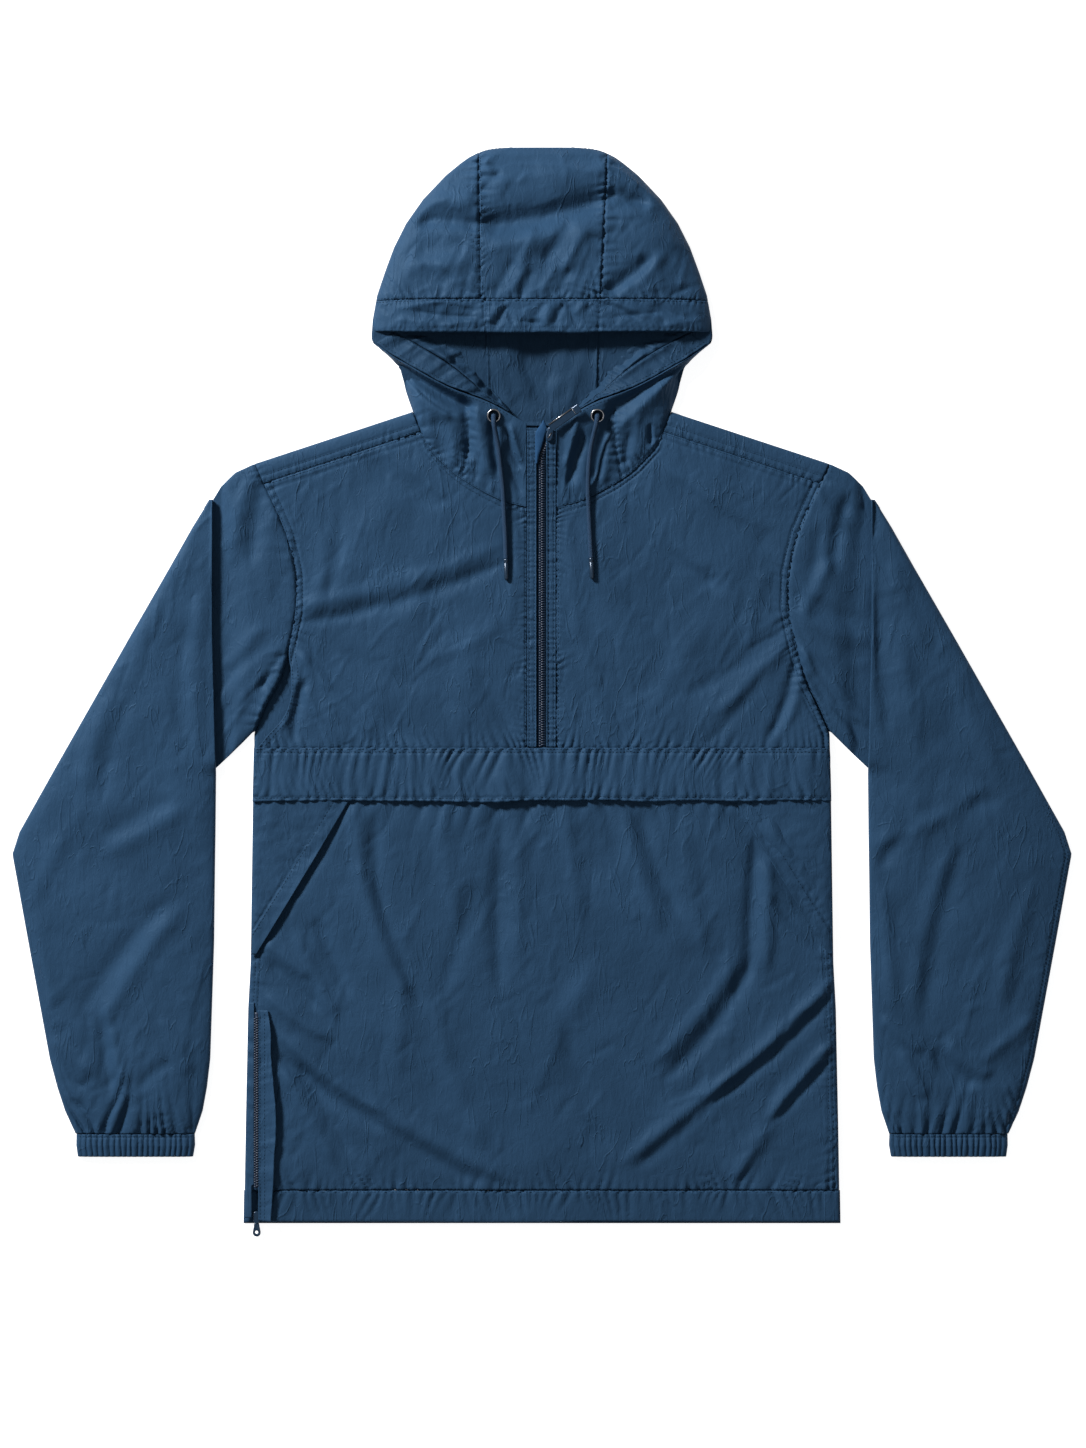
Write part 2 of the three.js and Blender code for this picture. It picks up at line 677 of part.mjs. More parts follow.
// Sleeve from the tuck down to the cuff, gathered at its end
function addLowerSleeve(side) {
  const topColumns = sleeveGathers * 3;
  const rings = sleeveStations.map((s) => {
    const gather = 2.2 * smooth((-325 - s.y) / 60);
    const top = steps(topColumns).map((u) => {
      const e = easeEnds(u);
      const round = Math.sqrt(1 - Math.abs(2 * e - 1) ** 4);
      const wave = gather * round * Math.sin(Math.PI * sleeveGathers * u) ** 2;
      const height = mix(3.4, s.height - gather * 0.6, round) + wave;
      return new THREE.Vector3(side * mix(s.outer, s.inner, e), s.y, height);
    });
    const bottom = steps(6).map((u) => new THREE.Vector3(side * mix(s.inner, s.outer, u), s.y, 0));
    return [...top, ...bottom];
  });
  tubeCloth(`sleeve_${sideName(side)}_lower`, rings, nylon);
}

// Elastic cuff with raised ribs on its upper face
function addCuff(side) {
  const sections = [
    { y: cuffTopY, outer: 427.8, inner: 319.4, height: 7.6 },
    { y: mix(cuffTopY, cuffEdgeY, 0.5), outer: 428, inner: 319, height: 8.2 },
    { y: cuffEdgeY, outer: 426.6, inner: 320.8, height: 7 },
  ];
  const rings = sections.map((s) => {
    const top = steps(cuffRibs * 3).map((u) => {
      const round = Math.sqrt(1 - Math.abs(2 * u - 1) ** 6);
      const rib = 1.1 * round * Math.sin(Math.PI * cuffRibs * u) ** 2;
      return new THREE.Vector3(side * mix(s.outer, s.inner, u), s.y, mix(3.6, s.height - 1, round) + rib);
    });
    const bottom = steps(5).map((u) => new THREE.Vector3(side * mix(s.inner, s.outer, u), s.y, 0));
    return [...top, ...bottom];
  });
  tubeCloth(`cuff_${sideName(side)}`, rings, nylon);
}

// Zip down the front, with a stitched placket strip on each side
function addFrontZip() {
  const strip = (name, fromX, toX, material, dip) => {
    const outer = zipRows.map((y) =>
      [fromX, toX].map((x) => new THREE.Vector3(x, y, zipTop(y) - dip + layerGap)));
    hangCloth(name, outer, material);
  };
  for (const side of [-1, 1]) {
    const near = zipX + side * (zipHalfWidth + seamGap);
    const far = zipX + side * (placketHalfWidth - seamGap);
    strip(`placket_${sideName(side)}`, Math.min(near, far), Math.max(near, far), nylon, 0);
  }
  strip("front_zip", zipX - zipHalfWidth, zipX + zipHalfWidth, zipCoil, 0.5);
}

// Hood: three panels over the crown, the casing along the brim, and the under layer on the surface
function addHoodTop() {
  const centre = crownRows.map((y) => {
    const half = lookUp(hoodSides, "y", y, "half");
    const from = -Math.min(half, lookUp(crownSeams, "y", y, "left")) + seamGap / 2;
    const to = Math.min(half, lookUp(crownSeams, "y", y, "right")) - seamGap / 2;
    return steps(10).map((u) => new THREE.Vector3(mix(from, to, u), y));
  });
  layCloth("hood_centre", centre, hoodTop, nylon);
  for (const side of [-1, 1]) {
    const panel = crownRows.slice(0, sidePanelRows).map((y) => {
      const half = lookUp(hoodSides, "y", y, "half") * 0.9985;
      const seam = lookUp(crownSeams, "y", y, sideName(side));
      return steps(8).map((u) => {
        const e = Math.sin((Math.PI / 2) * u);
        return new THREE.Vector3(side * mix(seam + seamGap / 2, half, e), y);
      });
    });
    layCloth(`hood_${sideName(side)}`, panel, hoodTop, nylon);
  }
  const casing = steps(3).map((v) =>
    steps(26).map((u) => {
      const e = -Math.cos(Math.PI * u);
      const spread = Math.sign(e) * Math.abs(e) ** 0.9;
      const bow = 2 - 3.5 * (1 - spread * spread);
      const y = mix(brimY + bow * 0.8, casingSeamY, v);
      const half = lookUp(hoodSides, "y", y, "half") * 0.9985;
      return new THREE.Vector3(spread * half, y);
    }));
  layCloth("hood_casing", casing, hoodTop, nylon, () => 0.3, 1.8);
}

function addHoodUnder() {
  const seamLow = 50;
  const seamHigh = 54;
  const seamTopY = 492;
  const neckY = (x) => neckStations[0].y - backNeckDip * Math.cos((Math.PI * x) / (2 * neckStations[0].x));
  const across = (from, to, count) =>
    straightRun(new THREE.Vector3(from, 0), new THREE.Vector3(to, 0), count);
  const neckRun = (from, to) => across(from, to, 3).map((p) => new THREE.Vector3(p.x, neckY(p.x) + seamGap));
  slab("hood_under_centre", [
    ...neckRun(-seamLow, seamLow),
    ...placed([{ x: seamHigh, y: seamTopY }, { x: 50, y: 496.8 }, { x: 30, y: 499.3 }], 1),
    ...placed([{ x: 30, y: 499.3 }, { x: 50, y: 496.8 }, { x: seamHigh, y: seamTopY }], -1),
  ], nylonInside);
  for (const side of [-1, 1]) {
    const crownSides = hoodSides.filter((s) => s.y < seamTopY - 2);
    const silhouette = [...neckOutline, ...crownSides.map((s) => ({ x: s.half, y: s.y }))];
    const outline = [
      ...neckRun(seamLow + seamGap, neckStations[0].x - seamGap),
      ...silhouette.slice(1).map((s) => new THREE.Vector3(s.x, s.y)),
      new THREE.Vector3(seamHigh + 2 * seamGap, seamTopY),
    ].map((p) => new THREE.Vector3(side * p.x, p.y));
    slab(`hood_under_${sideName(side)}`, outline, nylonInside);
  }
}

// Front of the hood's neck, between the neck seam and the lower edge of the face opening
function neckGrid(side) {
  const bottom = steppedRun(neckSeam(side), 2);
  const last = bottom.length - 1;
  bottom.forEach((p, i) => {
    p.z = mix(bodyEdgeHeight, bodyLoft + 0.4, smooth(i / 3));
  });
  const placketEdge = zipX + side * placketHalfWidth;
  bottom[last].x = placketEdge;
  const top = smoothRun(placed(openingStations, side), last);
  top[last].x = placketEdge;
  const left = smoothRun(placed(neckOutline, side), 8);
  const right = straightRun(bottom[last], top[last], 8);
  const grid = patch(bottom, top, left, right);
  grid.forEach((row, j) => row.forEach((p, i) => {
    const bulge = Math.sin(Math.PI * clamp01(i / 6)) * Math.sin((Math.PI * (j / 8)) * 0.8);
    p.z += 3.5 * bulge;
  }));
  return drawIn(grid);
}

function addHoodNeck(side) {
  hangCloth(`hood_neck_${sideName(side)}`, neckGrid(side), nylon);
  const drop = new THREE.Vector3(0, 1.6, -1.2);
  const edge = smoothRun(placed(openingStations, side), 8).map((p) => p.add(drop)).slice(0, 8);
  const casing = smoothRun(placed(innerCasingStations, side), 7);
  const foot = smoothRun(placed(innerFootStations, side), 7);
  const rows = (from, to, count) => steps(count).map((v) => from.map((p, i) => p.clone().lerp(to[i], v)));
  hangCloth(`hood_casing_inner_${sideName(side)}`, drawIn(rows(edge, casing, 2)), nylonInside);
  const panel = rows(casing, foot, 3);
  hangCloth(`hood_inner_${sideName(side)}`, drawIn(panel), nylonInside);
}

// Height of a grid of cloth at a place in plan
function heightOn(grid, x, y) {
  const place = new THREE.Vector3(x, y, 0);
  const weights = new THREE.Vector3();
  const flatten = (p) => new THREE.Vector3(p.x, p.y, 0);
  for (let j = 0; j < grid.length - 1; j += 1) {
    for (let i = 0; i < grid[0].length - 1; i += 1) {
      const corners = [grid[j][i], grid[j][i + 1], grid[j + 1][i + 1], grid[j + 1][i]];
      for (const [a, b, c] of [[0, 1, 2], [0, 2, 3]]) {
        const [p, q, r] = [corners[a], corners[b], corners[c]];
        THREE.Triangle.getBarycoord(place, flatten(p), flatten(q), flatten(r), weights);
        if (Math.min(weights.x, weights.y, weights.z) > -0.001) {
          return weights.x * p.z + weights.y * q.z + weights.z * r.z;
        }
      }
    }
  }
  return bodyTop(x, y);
}

const cordRoutes = {
  left: [
    { x: -44.2, y: 252, above: 2.8 },
    { x: -44.3, y: 249, above: 5.6 },
    { x: -43.9, y: 244, above: 6.6 },
    { x: -42.5, y: 236, above: 5.0 },
    { x: -40.6, y: 226, above: 3.6 },
    { x: -38.4, y: 208, above: 3.2 },
    { x: -36.2, y: 188, above: 3.0 },
    { x: -35.2, y: 172, above: 3.2 },
    { x: -34.4, y: 155, above: 2.8 },
    { x: -33.6, y: 138, above: 2.6 },
    { x: -33.1, y: 121.4, above: 2.6 },
  ],
  right: [
    { x: 50.6, y: 252, above: 2.8 },
    { x: 50.4, y: 249, above: 5.6 },
    { x: 49.4, y: 243, above: 6.6 },
    { x: 47.2, y: 234, above: 5.0 },
    { x: 44.6, y: 222, above: 3.6 },
    { x: 42.8, y: 206, above: 3.2 },
    { x: 42.2, y: 188, above: 3.0 },
    { x: 42.6, y: 172, above: 3.2 },
    { x: 43.4, y: 155, above: 2.8 },
    { x: 44.3, y: 138, above: 2.6 },
    { x: 45.1, y: 122.2, above: 2.6 },
  ],
};
const tipLength = 19.5;

// Drawcord out of its eyelet, down over the chest to its tip
function addDrawcord(side) {
  const name = sideName(side);
  const grid = neckGrid(side);
  const route = cordRoutes[name].map((s) => new THREE.Vector3(s.x, s.y, heightOn(grid, s.x, s.y) + s.above));
  const path = new THREE.CatmullRomCurve3(route, false, "centripetal");
  const section = new THREE.Shape(steps(7).map((t) => {
    const turn = (2 * Math.PI * t * 7) / 8;
    return new THREE.Vector2(cordRadius * Math.cos(turn), cordRadius * Math.sin(turn));
  }));
  const geometry = new THREE.ExtrudeGeometry(section, { steps: 30, extrudePath: path, bevelEnabled: false });
  const cord = new THREE.Mesh(geometry, cordYarn);
  cord.name = `drawcord_${name}`;
  garment.add(cord);
  const end = route[route.length - 1];
  const heading = path.getTangentAt(1);
  const tipShape = new THREE.CylinderGeometry(tipRadius, tipRadius * 0.9, tipLength, 12);
  const tip = new THREE.Mesh(tipShape, tipPlastic);
  tip.name = `cord_tip_${name}`;
  heading.z = 0;
  heading.normalize();
  tip.quaternion.setFromUnitVectors(new THREE.Vector3(0, -1, 0), heading);
  tip.position.copy(end).addScaledVector(heading, tipLength / 2 + layerGap);
  garment.add(tip);
  addEyelet(side, grid, route[0]);
}

// Rolled metal ring set on the hood's neck where the cord comes out
function addEyelet(side, grid, at) {
  const ringRadius = 4.9;
  const rollRadius = 1.5;
  const profile = steps(6).map((t) => {
    const turn = 2 * Math.PI * t;
    return new THREE.Vector2(ringRadius + rollRadius * Math.cos(turn), 0.8 * Math.sin(turn));
  });
  const eyelet = new THREE.Mesh(new THREE.LatheGeometry(profile, 14), metal);
  eyelet.name = `eyelet_${sideName(side)}`;
  const reach = 5;
  const slopeX = (heightOn(grid, at.x + reach, at.y) - heightOn(grid, at.x - reach, at.y)) / (2 * reach);
  const slopeY = (heightOn(grid, at.x, at.y + reach) - heightOn(grid, at.x, at.y - reach)) / (2 * reach);
  const normal = new THREE.Vector3(-slopeX, -slopeY, 1).normalize();
  eyelet.quaternion.setFromUnitVectors(new THREE.Vector3(0, 1, 0), normal);
  eyelet.position.set(at.x, at.y, heightOn(grid, at.x, at.y)).addScaledVector(normal, 1.5);
  garment.add(eyelet);
}

// A flat plate cut to an outline, with its underside at a height
function plate(name, points, low, thickness, material) {
  const shape = new THREE.Shape(points.map(([x, y]) => new THREE.Vector2(x, y)));
  const geometry = new THREE.ExtrudeGeometry(shape, { depth: thickness, bevelEnabled: false });
  const mesh = new THREE.Mesh(geometry, material);
  mesh.name = name;
  mesh.position.z = low;
  garment.add(mesh);
  return mesh;
}

// Slider at the top of the front zip, its long pull tab lying towards the hood's right edge
const sliderLow = zipTop(zipTopY) + layerGap + 0.3;
const sliderHeight = 2.6;
const pullThickness = 1.4;
const pullPivot = new THREE.Vector3(7.4, 240.2, sliderLow + sliderHeight + pullThickness / 2 + layerGap);
const pullTurn = Math.atan2(18.4, 26.7);
const pullTilt = 0.1;
const pullLength = 33;
const pullWidth = 7.4;

function addFrontSlider() {
  plate("front_slider", sliderOutline, sliderLow, sliderHeight, paintedMetal);
  const half = pullWidth / 2;
  const pull = plate("front_pull", [
    [0, -half * 0.5], [5, -half], [pullLength, -half], [pullLength, half], [5, half], [0, half * 0.5],
  ], 0, pullThickness, paintedMetal);
  pull.geometry.translate(0, 0, -pullThickness / 2);
  pull.position.copy(pullPivot);
  pull.rotation.set(0, -pullTilt, pullTurn, "ZYX");
  const tapeEnd = tapeEndStations.map(({ y, left, right }) =>
    [left, right].map((x) => new THREE.Vector3(x, y, zipTop(y) + layerGap + layerStep)));
  hangCloth("zip_tape_end", tapeEnd, webbing);
}

// Slider of the side zip at the hem: a body, and a tongue under the pull that lies beyond the edge
const sidePullPivotY = -489.3;
const sidePullThickness = 1.2;

function addSideSlider() {
  const low = slabTop + layerGap;
  const top = low + 2.9;
  const tongueTop = low + 0.8;
  const width = 7;
  const profile = new THREE.Shape([
    [-478, low], [-491.5, low], [-491.5, tongueTop], [-488.4, tongueTop], [-488.4, top], [-478, top],
  ].map(([y, z]) => new THREE.Vector2(y, z)));
  const geometry = new THREE.ExtrudeGeometry(profile, { depth: width, bevelEnabled: false });
  const slider = new THREE.Mesh(geometry, paintedMetal);
  slider.name = "side_slider";
  const axes = [[0, 1, 0], [0, 0, 1], [1, 0, 0]].map((axis) => new THREE.Vector3(...axis));
  slider.quaternion.setFromRotationMatrix(new THREE.Matrix4().makeBasis(...axes));
  slider.position.x = sideZipX - width / 2;
  garment.add(slider);
  const neck = 2.2;
  const end = 3.6;
  const round = steps(8).map((t) => {
    const turn = Math.PI * (1.15 - 1.3 * t);
    return [sideZipX - end * Math.sin(turn), sidePullTipY + end - end * Math.cos(turn)];
  });
  plate("side_pull", [
    [sideZipX + neck, sidePullPivotY], [sideZipX - neck, sidePullPivotY], ...round,
  ], tongueTop + layerGap, sidePullThickness, paintedMetal);
}

addBackPanel();
addPouch();
addBand();
addFrontZip();
addSideZip();
addHoodTop();
addHoodUnder();
for (const side of [-1, 1]) {
  addFrontPanel(side);
  addYoke(side);
  addPocketFacing(side);
  addUpperSleeve(side);
  addLowerSleeve(side);
  addCuff(side);
  addHoodNeck(side);
  addDrawcord(side);
}
addFrontSlider();
addSideSlider();

export default garment;
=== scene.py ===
# Anorak pullover in crisp woven nylon, laid flat on a white surface and seen from straight above.
# Lengths in the tables are millimetres on the garment, with y up to the hood; meshes are in metres.
import math
from collections import namedtuple

import bpy
import numpy as np
from mathutils import Matrix, Vector


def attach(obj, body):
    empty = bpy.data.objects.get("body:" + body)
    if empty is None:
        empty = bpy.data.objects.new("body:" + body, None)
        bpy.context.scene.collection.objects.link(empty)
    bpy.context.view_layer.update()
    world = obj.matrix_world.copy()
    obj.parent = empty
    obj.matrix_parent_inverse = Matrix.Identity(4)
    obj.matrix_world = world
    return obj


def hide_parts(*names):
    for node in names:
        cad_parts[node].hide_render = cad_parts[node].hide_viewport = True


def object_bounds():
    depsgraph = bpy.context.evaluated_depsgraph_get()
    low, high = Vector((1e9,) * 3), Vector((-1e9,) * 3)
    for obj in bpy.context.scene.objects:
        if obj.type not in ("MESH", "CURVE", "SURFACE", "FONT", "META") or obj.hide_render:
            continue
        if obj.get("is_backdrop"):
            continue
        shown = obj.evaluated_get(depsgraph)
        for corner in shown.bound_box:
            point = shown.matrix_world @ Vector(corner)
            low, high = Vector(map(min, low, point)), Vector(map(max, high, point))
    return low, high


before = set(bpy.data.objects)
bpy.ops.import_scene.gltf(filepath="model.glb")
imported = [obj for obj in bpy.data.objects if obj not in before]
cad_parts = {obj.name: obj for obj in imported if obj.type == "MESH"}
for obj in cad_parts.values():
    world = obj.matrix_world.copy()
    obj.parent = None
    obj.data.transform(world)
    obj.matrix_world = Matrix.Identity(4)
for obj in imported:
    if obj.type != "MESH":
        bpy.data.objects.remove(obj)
cad_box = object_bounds()

MM = 0.001
BODY = "garment"

# Driving sizes, the same as the solids'
CENTRE_SHIFT_Y = 0.9
CLOTH_WALL = 1.2
SEAM_GAP = 0.4
LAYER_GAP = 0.3
LAYER_STEP = CLOTH_WALL + LAYER_GAP
ARMHOLE_LAP = 1.5
UNDER_LAP = 1.4
BODY_LOFT = 6.2
BODY_EDGE_HEIGHT = 3.0
BODY_EDGE_ROUND = 10
CROWN_TOP_Y = 499.6
CASING_SEAM_Y = 357.8
BRIM_Y = 328.2
BACK_NECK_DIP = 12
HOOD_FULLNESS = 4.5
HEM_SEAM_Y = -459
HEM_EDGE_Y = -488
BACK_HEM_EDGE_Y = -489.4
BAND_TOP_Y = -52.4
BAND_BOTTOM_Y = -101
ZIP_X = -0.5
ZIP_HALF_WIDTH = 4.1
PLACKET_HALF_WIDTH = 13.6
ZIP_TOP_Y = 238
SIDE_ZIP_X = -262.2
SIDE_ZIP_TOP_Y = -295
SIDE_PULL_TIP_Y = -501.4
CUFF_TOP_Y = -407.1
CUFF_EDGE_Y = -427.8
CUFF_RIBS = 21
ELBOW_Y = -129
CORD_RADIUS = 2.2
TIP_RADIUS = 2.3
TIP_LENGTH = 19.5
EYELET_RADIUS = 5.5
EYELET_ROLL = 0.85
EYELET_RISE = 1.7
SHELL = 0.8

# Camera straight above, so far up that the photograph's frame is filled as shown
LENS = 85
SENSOR = 36
FRAME_HEIGHT = 1332
FRAME_CENTRE = (0.9, -29.5)

# Outlines, a row for each station, for the half on the +X side
Side = namedtuple("Side", "y half")
BODY_SIDES = [
    Side(-490, 274.5),
    Side(-400, 273),
    Side(-292, 270.8),
    Side(-250, 268.5),
    Side(-100, 266.4),
    Side(-37, 265),
]
HOOD_SIDES = [
    Side(325, 157),
    Side(341, 155.8),
    Side(363.4, 151.8),
    Side(385.5, 144.4),
    Side(407.6, 136.2),
    Side(429.6, 125.1),
    Side(451.7, 109.5),
    Side(473.8, 88.6),
    Side(485, 75),
    Side(490.5, 67.3),
    Side(494.5, 59.5),
    Side(497, 52.5),
    Side(498.6, 44),
    Side(499.6, 32),
]
Rise = namedtuple("Rise", "y height")
HOOD_HEIGHTS = [
    Rise(320, 20),
    Rise(345, 20),
    Rise(375, 19.6),
    Rise(410, 18.6),
    Rise(445, 16.4),
    Rise(475, 12),
    Rise(492, 7),
    Rise(499.6, 2.4),
]
# Seams of the hood's middle panel, which draw together towards the brim
Seam = namedtuple("Seam", "y left right")
CROWN_SEAMS = [
    Seam(357, 56.2, 53.4),
    Seam(496, 58, 60),
]
ARMHOLE = [
    (264, 208.8), (255.8, 190.4), (235.5, 144.4), (227.2, 108.6), (226.3, 75.4),
    (233.8, 40), (241.5, 12), (256, -15), (265, -37),
]
SHOULDER_SEAM = [(111.3, 238.3), (255.8, 190.4)]
# Outer edges of the fronts, which draw back from the armhole and leave a dark pocket at the underarm
FRONT_EDGES = {
    "left": [*ARMHOLE[1:5], (232.5, 38), (230.5, 16), (231, -6), (238, -25), (254, -43)],
    "right": [*ARMHOLE[1:6], (240.8, 12), (252.4, -15), (263, -39)],
}
NECK_SEAM = [
    (118.7, 256.7), (111.3, 238.3), (104, 223), (85.6, 203.3), (66.2, 189.5), (37.7, 174.8), (14.1, 168.4),
]
OPENING_EDGE = [(156, 320, 7), (131, 303, 12.5), (87, 278.5, 18), (47, 263.6, 17), (14.1, 245, 13.8)]
NECK_OUTLINE = [
    (118.7, 256.7, 3.0), (125, 275, 3.0), (131, 297, 3.2), (142, 308.5, 4.4), (156, 320, 7),
]
INNER_CASING = [(143, 332, 6), (122, 322, 8.5), (80, 296, 12), (50, 271, 11), (30, 257, 9)]
INNER_FOOT = [(108, 350, 2.9), (92, 338, 2.9), (66, 306, 2.9), (48, 279, 2.9), (34, 263, 2.9)]
Sleeve = namedtuple("Sleeve", "y outer inner height")
SLEEVE = [
    Sleeve(168, 310.2, 302.8, 6.5),
    Sleeve(150, 321.4, 302.8, 8.5),
    Sleeve(113.2, 342.2, 302.8, 9.8),
    Sleeve(52.4, 377.2, 302.6, 10),
    Sleeve(-69, 446.2, 299.6, 9.4),
    Sleeve(-129.7, 480.2, 300.2, 9),
    Sleeve(-150, 486.7, 300.5, 9),
    Sleeve(-170.2, 483, 300.8, 9),
    Sleeve(-230.9, 472, 301.5, 9),
    Sleeve(-338, 452.3, 305, 10),
    Sleeve(-364, 445.4, 308, 10.4),
    Sleeve(-386, 438.2, 312, 10),
    Sleeve(-406.7, 428.6, 319, 7.5),
]
Tuck = namedtuple("Tuck", "along shoulder_x shoulder_y under_x under_y")
UPPER_SLEEVE = [
    Tuck(0, 264, 208.8, 265, -37),
    Tuck(0.35, 282, 200.5, 276, -48.2),
    Tuck(0.7, 295, 188, 288, -59.9),
    Tuck(1, 302.3, 176, 298.8, -70),
    Tuck(1.1, 305, 172, 302.6, -73.4),
]

# Folds: start, end, half width, height (a trough is negative) and how far the middle bows aside
Fold = namedtuple("Fold", "x0 y0 x1 y1 half height bow", defaults=[0])


def fold_table(*rows):
    return [Fold(*row) for row in rows]


MAIN_FOLDS = fold_table(
    (-120, 205, -215, 60, 16, 1.2), (-70, 175, -140, 20, 18, 0.9), (-225, 30, -180, -45, 12, 1.3),
    (90, 190, 190, 90, 18, 1.2), (222, 60, 150, -40, 14, 1.1), (40, 150, 95, -30, 16, 0.8),
    (268, -268, 95, -430, 16, 1.3), (255, -330, 170, -445, 12, 1.0), (-120, -125, -150, -330, 22, 1.0),
    (55, -120, 150, -300, 22, 1.1), (-240, -280, -150, -440, 14, 1.2),
)
CHEST_FOLDS = fold_table(
    (-227, 12, -240, -36, 3.5, 1.1, -4), (-217, 10, -228, -46, 5, -2.8, 3), (-226, 16, -206, -24, 4, 1.6),
    (-222, 34, -196, 2, 5, 1.3), (-214, 26, -168, -40, 6, -1.3, 3), (-224, 40, -150, -44, 7, 1.8, 4),
    (232, 28, 208, -44, 5, -3.0, -4), (240, 30, 226, -30, 5, 1.6, -2), (240, -6, 262, -46, 2, -1.1),
    (247, -6, 266, -42, 2, -1.0), (224, 44, 160, -20, 7, 2.0, -3), (206, 20, 150, -50, 6, -1.5, -3),
    (-226, 62, -34, 118, 7, -2.4, 7), (-224, 78, -38, 134, 8, 2.0, 7), (-150, 224, -90, 180, 6, 2.0),
    (-162, 212, -98, 168, 7, -1.8), (-216, 38, -118, -46, 8, -1.8, 5), (-200, 150, -212, 70, 8, 1.2, -4),
    (-186, 160, -196, 90, 7, -1.1, -4), (-74, 168, -108, 56, 11, -1.2), (-58, 60, -74, -42, 12, 1.2, 5),
    (-180, 34, -112, 2, 9, -1.1), (-110, 30, -40, 60, 8, 1.0, 4), (-60, 20, -24, -46, 7, -1.1),
    (230, 66, 138, -2, 8, -1.8, -3), (66, 180, 154, 110, 8, 2.0, 4), (78, 166, 162, 94, 8, -2.0, 4),
    (110, 208, 208, 150, 7, 1.6, 3), (120, 192, 212, 130, 8, -1.6, 3), (60, 122, 122, 20, 11, -1.1),
    (38, 44, 62, -46, 9, 1.2), (206, 112, 188, 40, 8, 1.4, 3), (150, 62, 98, -20, 9, 1.1),
    (24, 152, 34, 40, 7, 1.0), (-22, 150, -30, 60, 6, 0.8),
)
POUCH_FOLDS = fold_table(
    (-172, -104, -166, -172, 8, 2.3), (-166, -162, -126, -276, 9, 2.7, 5), (-128, -262, -132, -350, 9, 1.9),
    (-152, -112, -146, -204, 7, -2.3, 4), (-146, -196, -108, -290, 8, -2.1, 4),
    (-36, -116, -38, -276, 8, -2.5, 4), (-22, -118, -22, -246, 8, 1.7), (-90, -110, -76, -220, 9, 1.7, 4),
    (22, -112, 34, -210, 8, 1.5), (76, -110, 108, -218, 9, 2.7, 4), (92, -110, 124, -204, 8, -2.3, 4),
    (184, -110, 228, -154, 7, 2.5), (170, -112, 214, -164, 7, -2.1), (195, -140, 190, -262, 7, -3.6),
    (192, -250, 116, -354, 8, -3.4, -6), (209, -146, 206, -256, 7, 2.7), (178, -246, 104, -340, 8, 2.7, -5),
    (266, -266, 160, -364, 7, 4.0, -4), (170, -356, 76, -432, 8, 3.0), (260, -286, 156, -376, 7, -3.4, -4),
    (160, -374, 90, -436, 7, -2.3), (266, -322, 212, -388, 6, 3.4), (218, -382, 178, -446, 7, 2.8),
    (262, -342, 202, -404, 6, -3.0), (-240, -316, -150, -384, 7, 3.6, 3),
    (-158, -378, -34, -446, 8, 3.0, 3), (-242, -336, -146, -402, 7, -3.0, 3),
    (-140, -404, -60, -450, 7, -2.1, 2), (-238, -346, -190, -434, 7, 2.8),
    (-222, -342, -176, -424, 6, -2.5), (-256, -230, -214, -262, 6, 2.8), (-250, -250, -206, -292, 6, -2.7),
    (-254, -278, -196, -318, 6, 2.7, 3), (-226, -222, -190, -300, 6, 2.1),
    (-206, -212, -178, -280, 7, -2.5), (206, -118, 262, -196, 7, 2.3), (218, -112, 264, -170, 6, -2.3),
    (212, -190, 258, -240, 6, -2.5), (-96, -300, -52, -420, 10, 1.7, 5), (20, -300, 60, -420, 11, -1.7, 4),
    (50, -250, -10, -380, 11, 1.5, 5), (-60, -180, -92, -280, 9, -1.7), (130, -130, 150, -240, 9, 1.7, 3),
)
LEFT_SLEEVE_FOLDS = fold_table(
    (-235, 36, -258, 2, 4, -2.7, 2), (-238, 16, -262, -34, 4, 1.3, 3), (-234, 52, -298, -14, 10, 1.8, 4),
    (-240, 22, -296, -38, 2.5, -0.9, 3), (-236, 30, -298, -52, 7, 2.7, 4),
    (-250, 14, -300, -64, 6, -2.5, 3), (-232, 52, -300, 4, 8, -1.9, 4), (-268, 200, -286, 118, 7, 2.2, 2),
    (-254, 196, -268, 116, 7, -2.4, 2), (-246, 170, -252, 84, 8, 1.2, 2), (-256, 60, -290, 20, 7, 1.5),
    (-322, 130, -372, 30, 10, 1.3, 4), (-312, 90, -316, -60, 8, 1.5, 3), (-326, 60, -330, -40, 8, -1.3, 3),
    (-392, 0, -422, -90, 10, 1.6, 4), (-380, -10, -404, -100, 9, -1.5, 4),
    (-330, -110, -402, -150, 11, 1.9), (-340, -100, -400, -132, 10, -1.6),
    (-430, -120, -464, -190, 9, 1.6, 3), (-340, -190, -420, -290, 9, -2.1, 5),
    (-330, -200, -404, -310, 9, 2.1, 5), (-466, -210, -448, -290, 8, 1.5), (-396, -310, -384, -360, 6, 2.4),
    (-404, -300, -396, -372, 6, -2.5), (-350, -300, -322, -350, 7, 1.7), (-452, -320, -410, -352, 7, 1.9),
    (-340, -340, -370, -366, 6, -1.7, 3), (-306, -240, -330, -290, 7, 1.3),
)
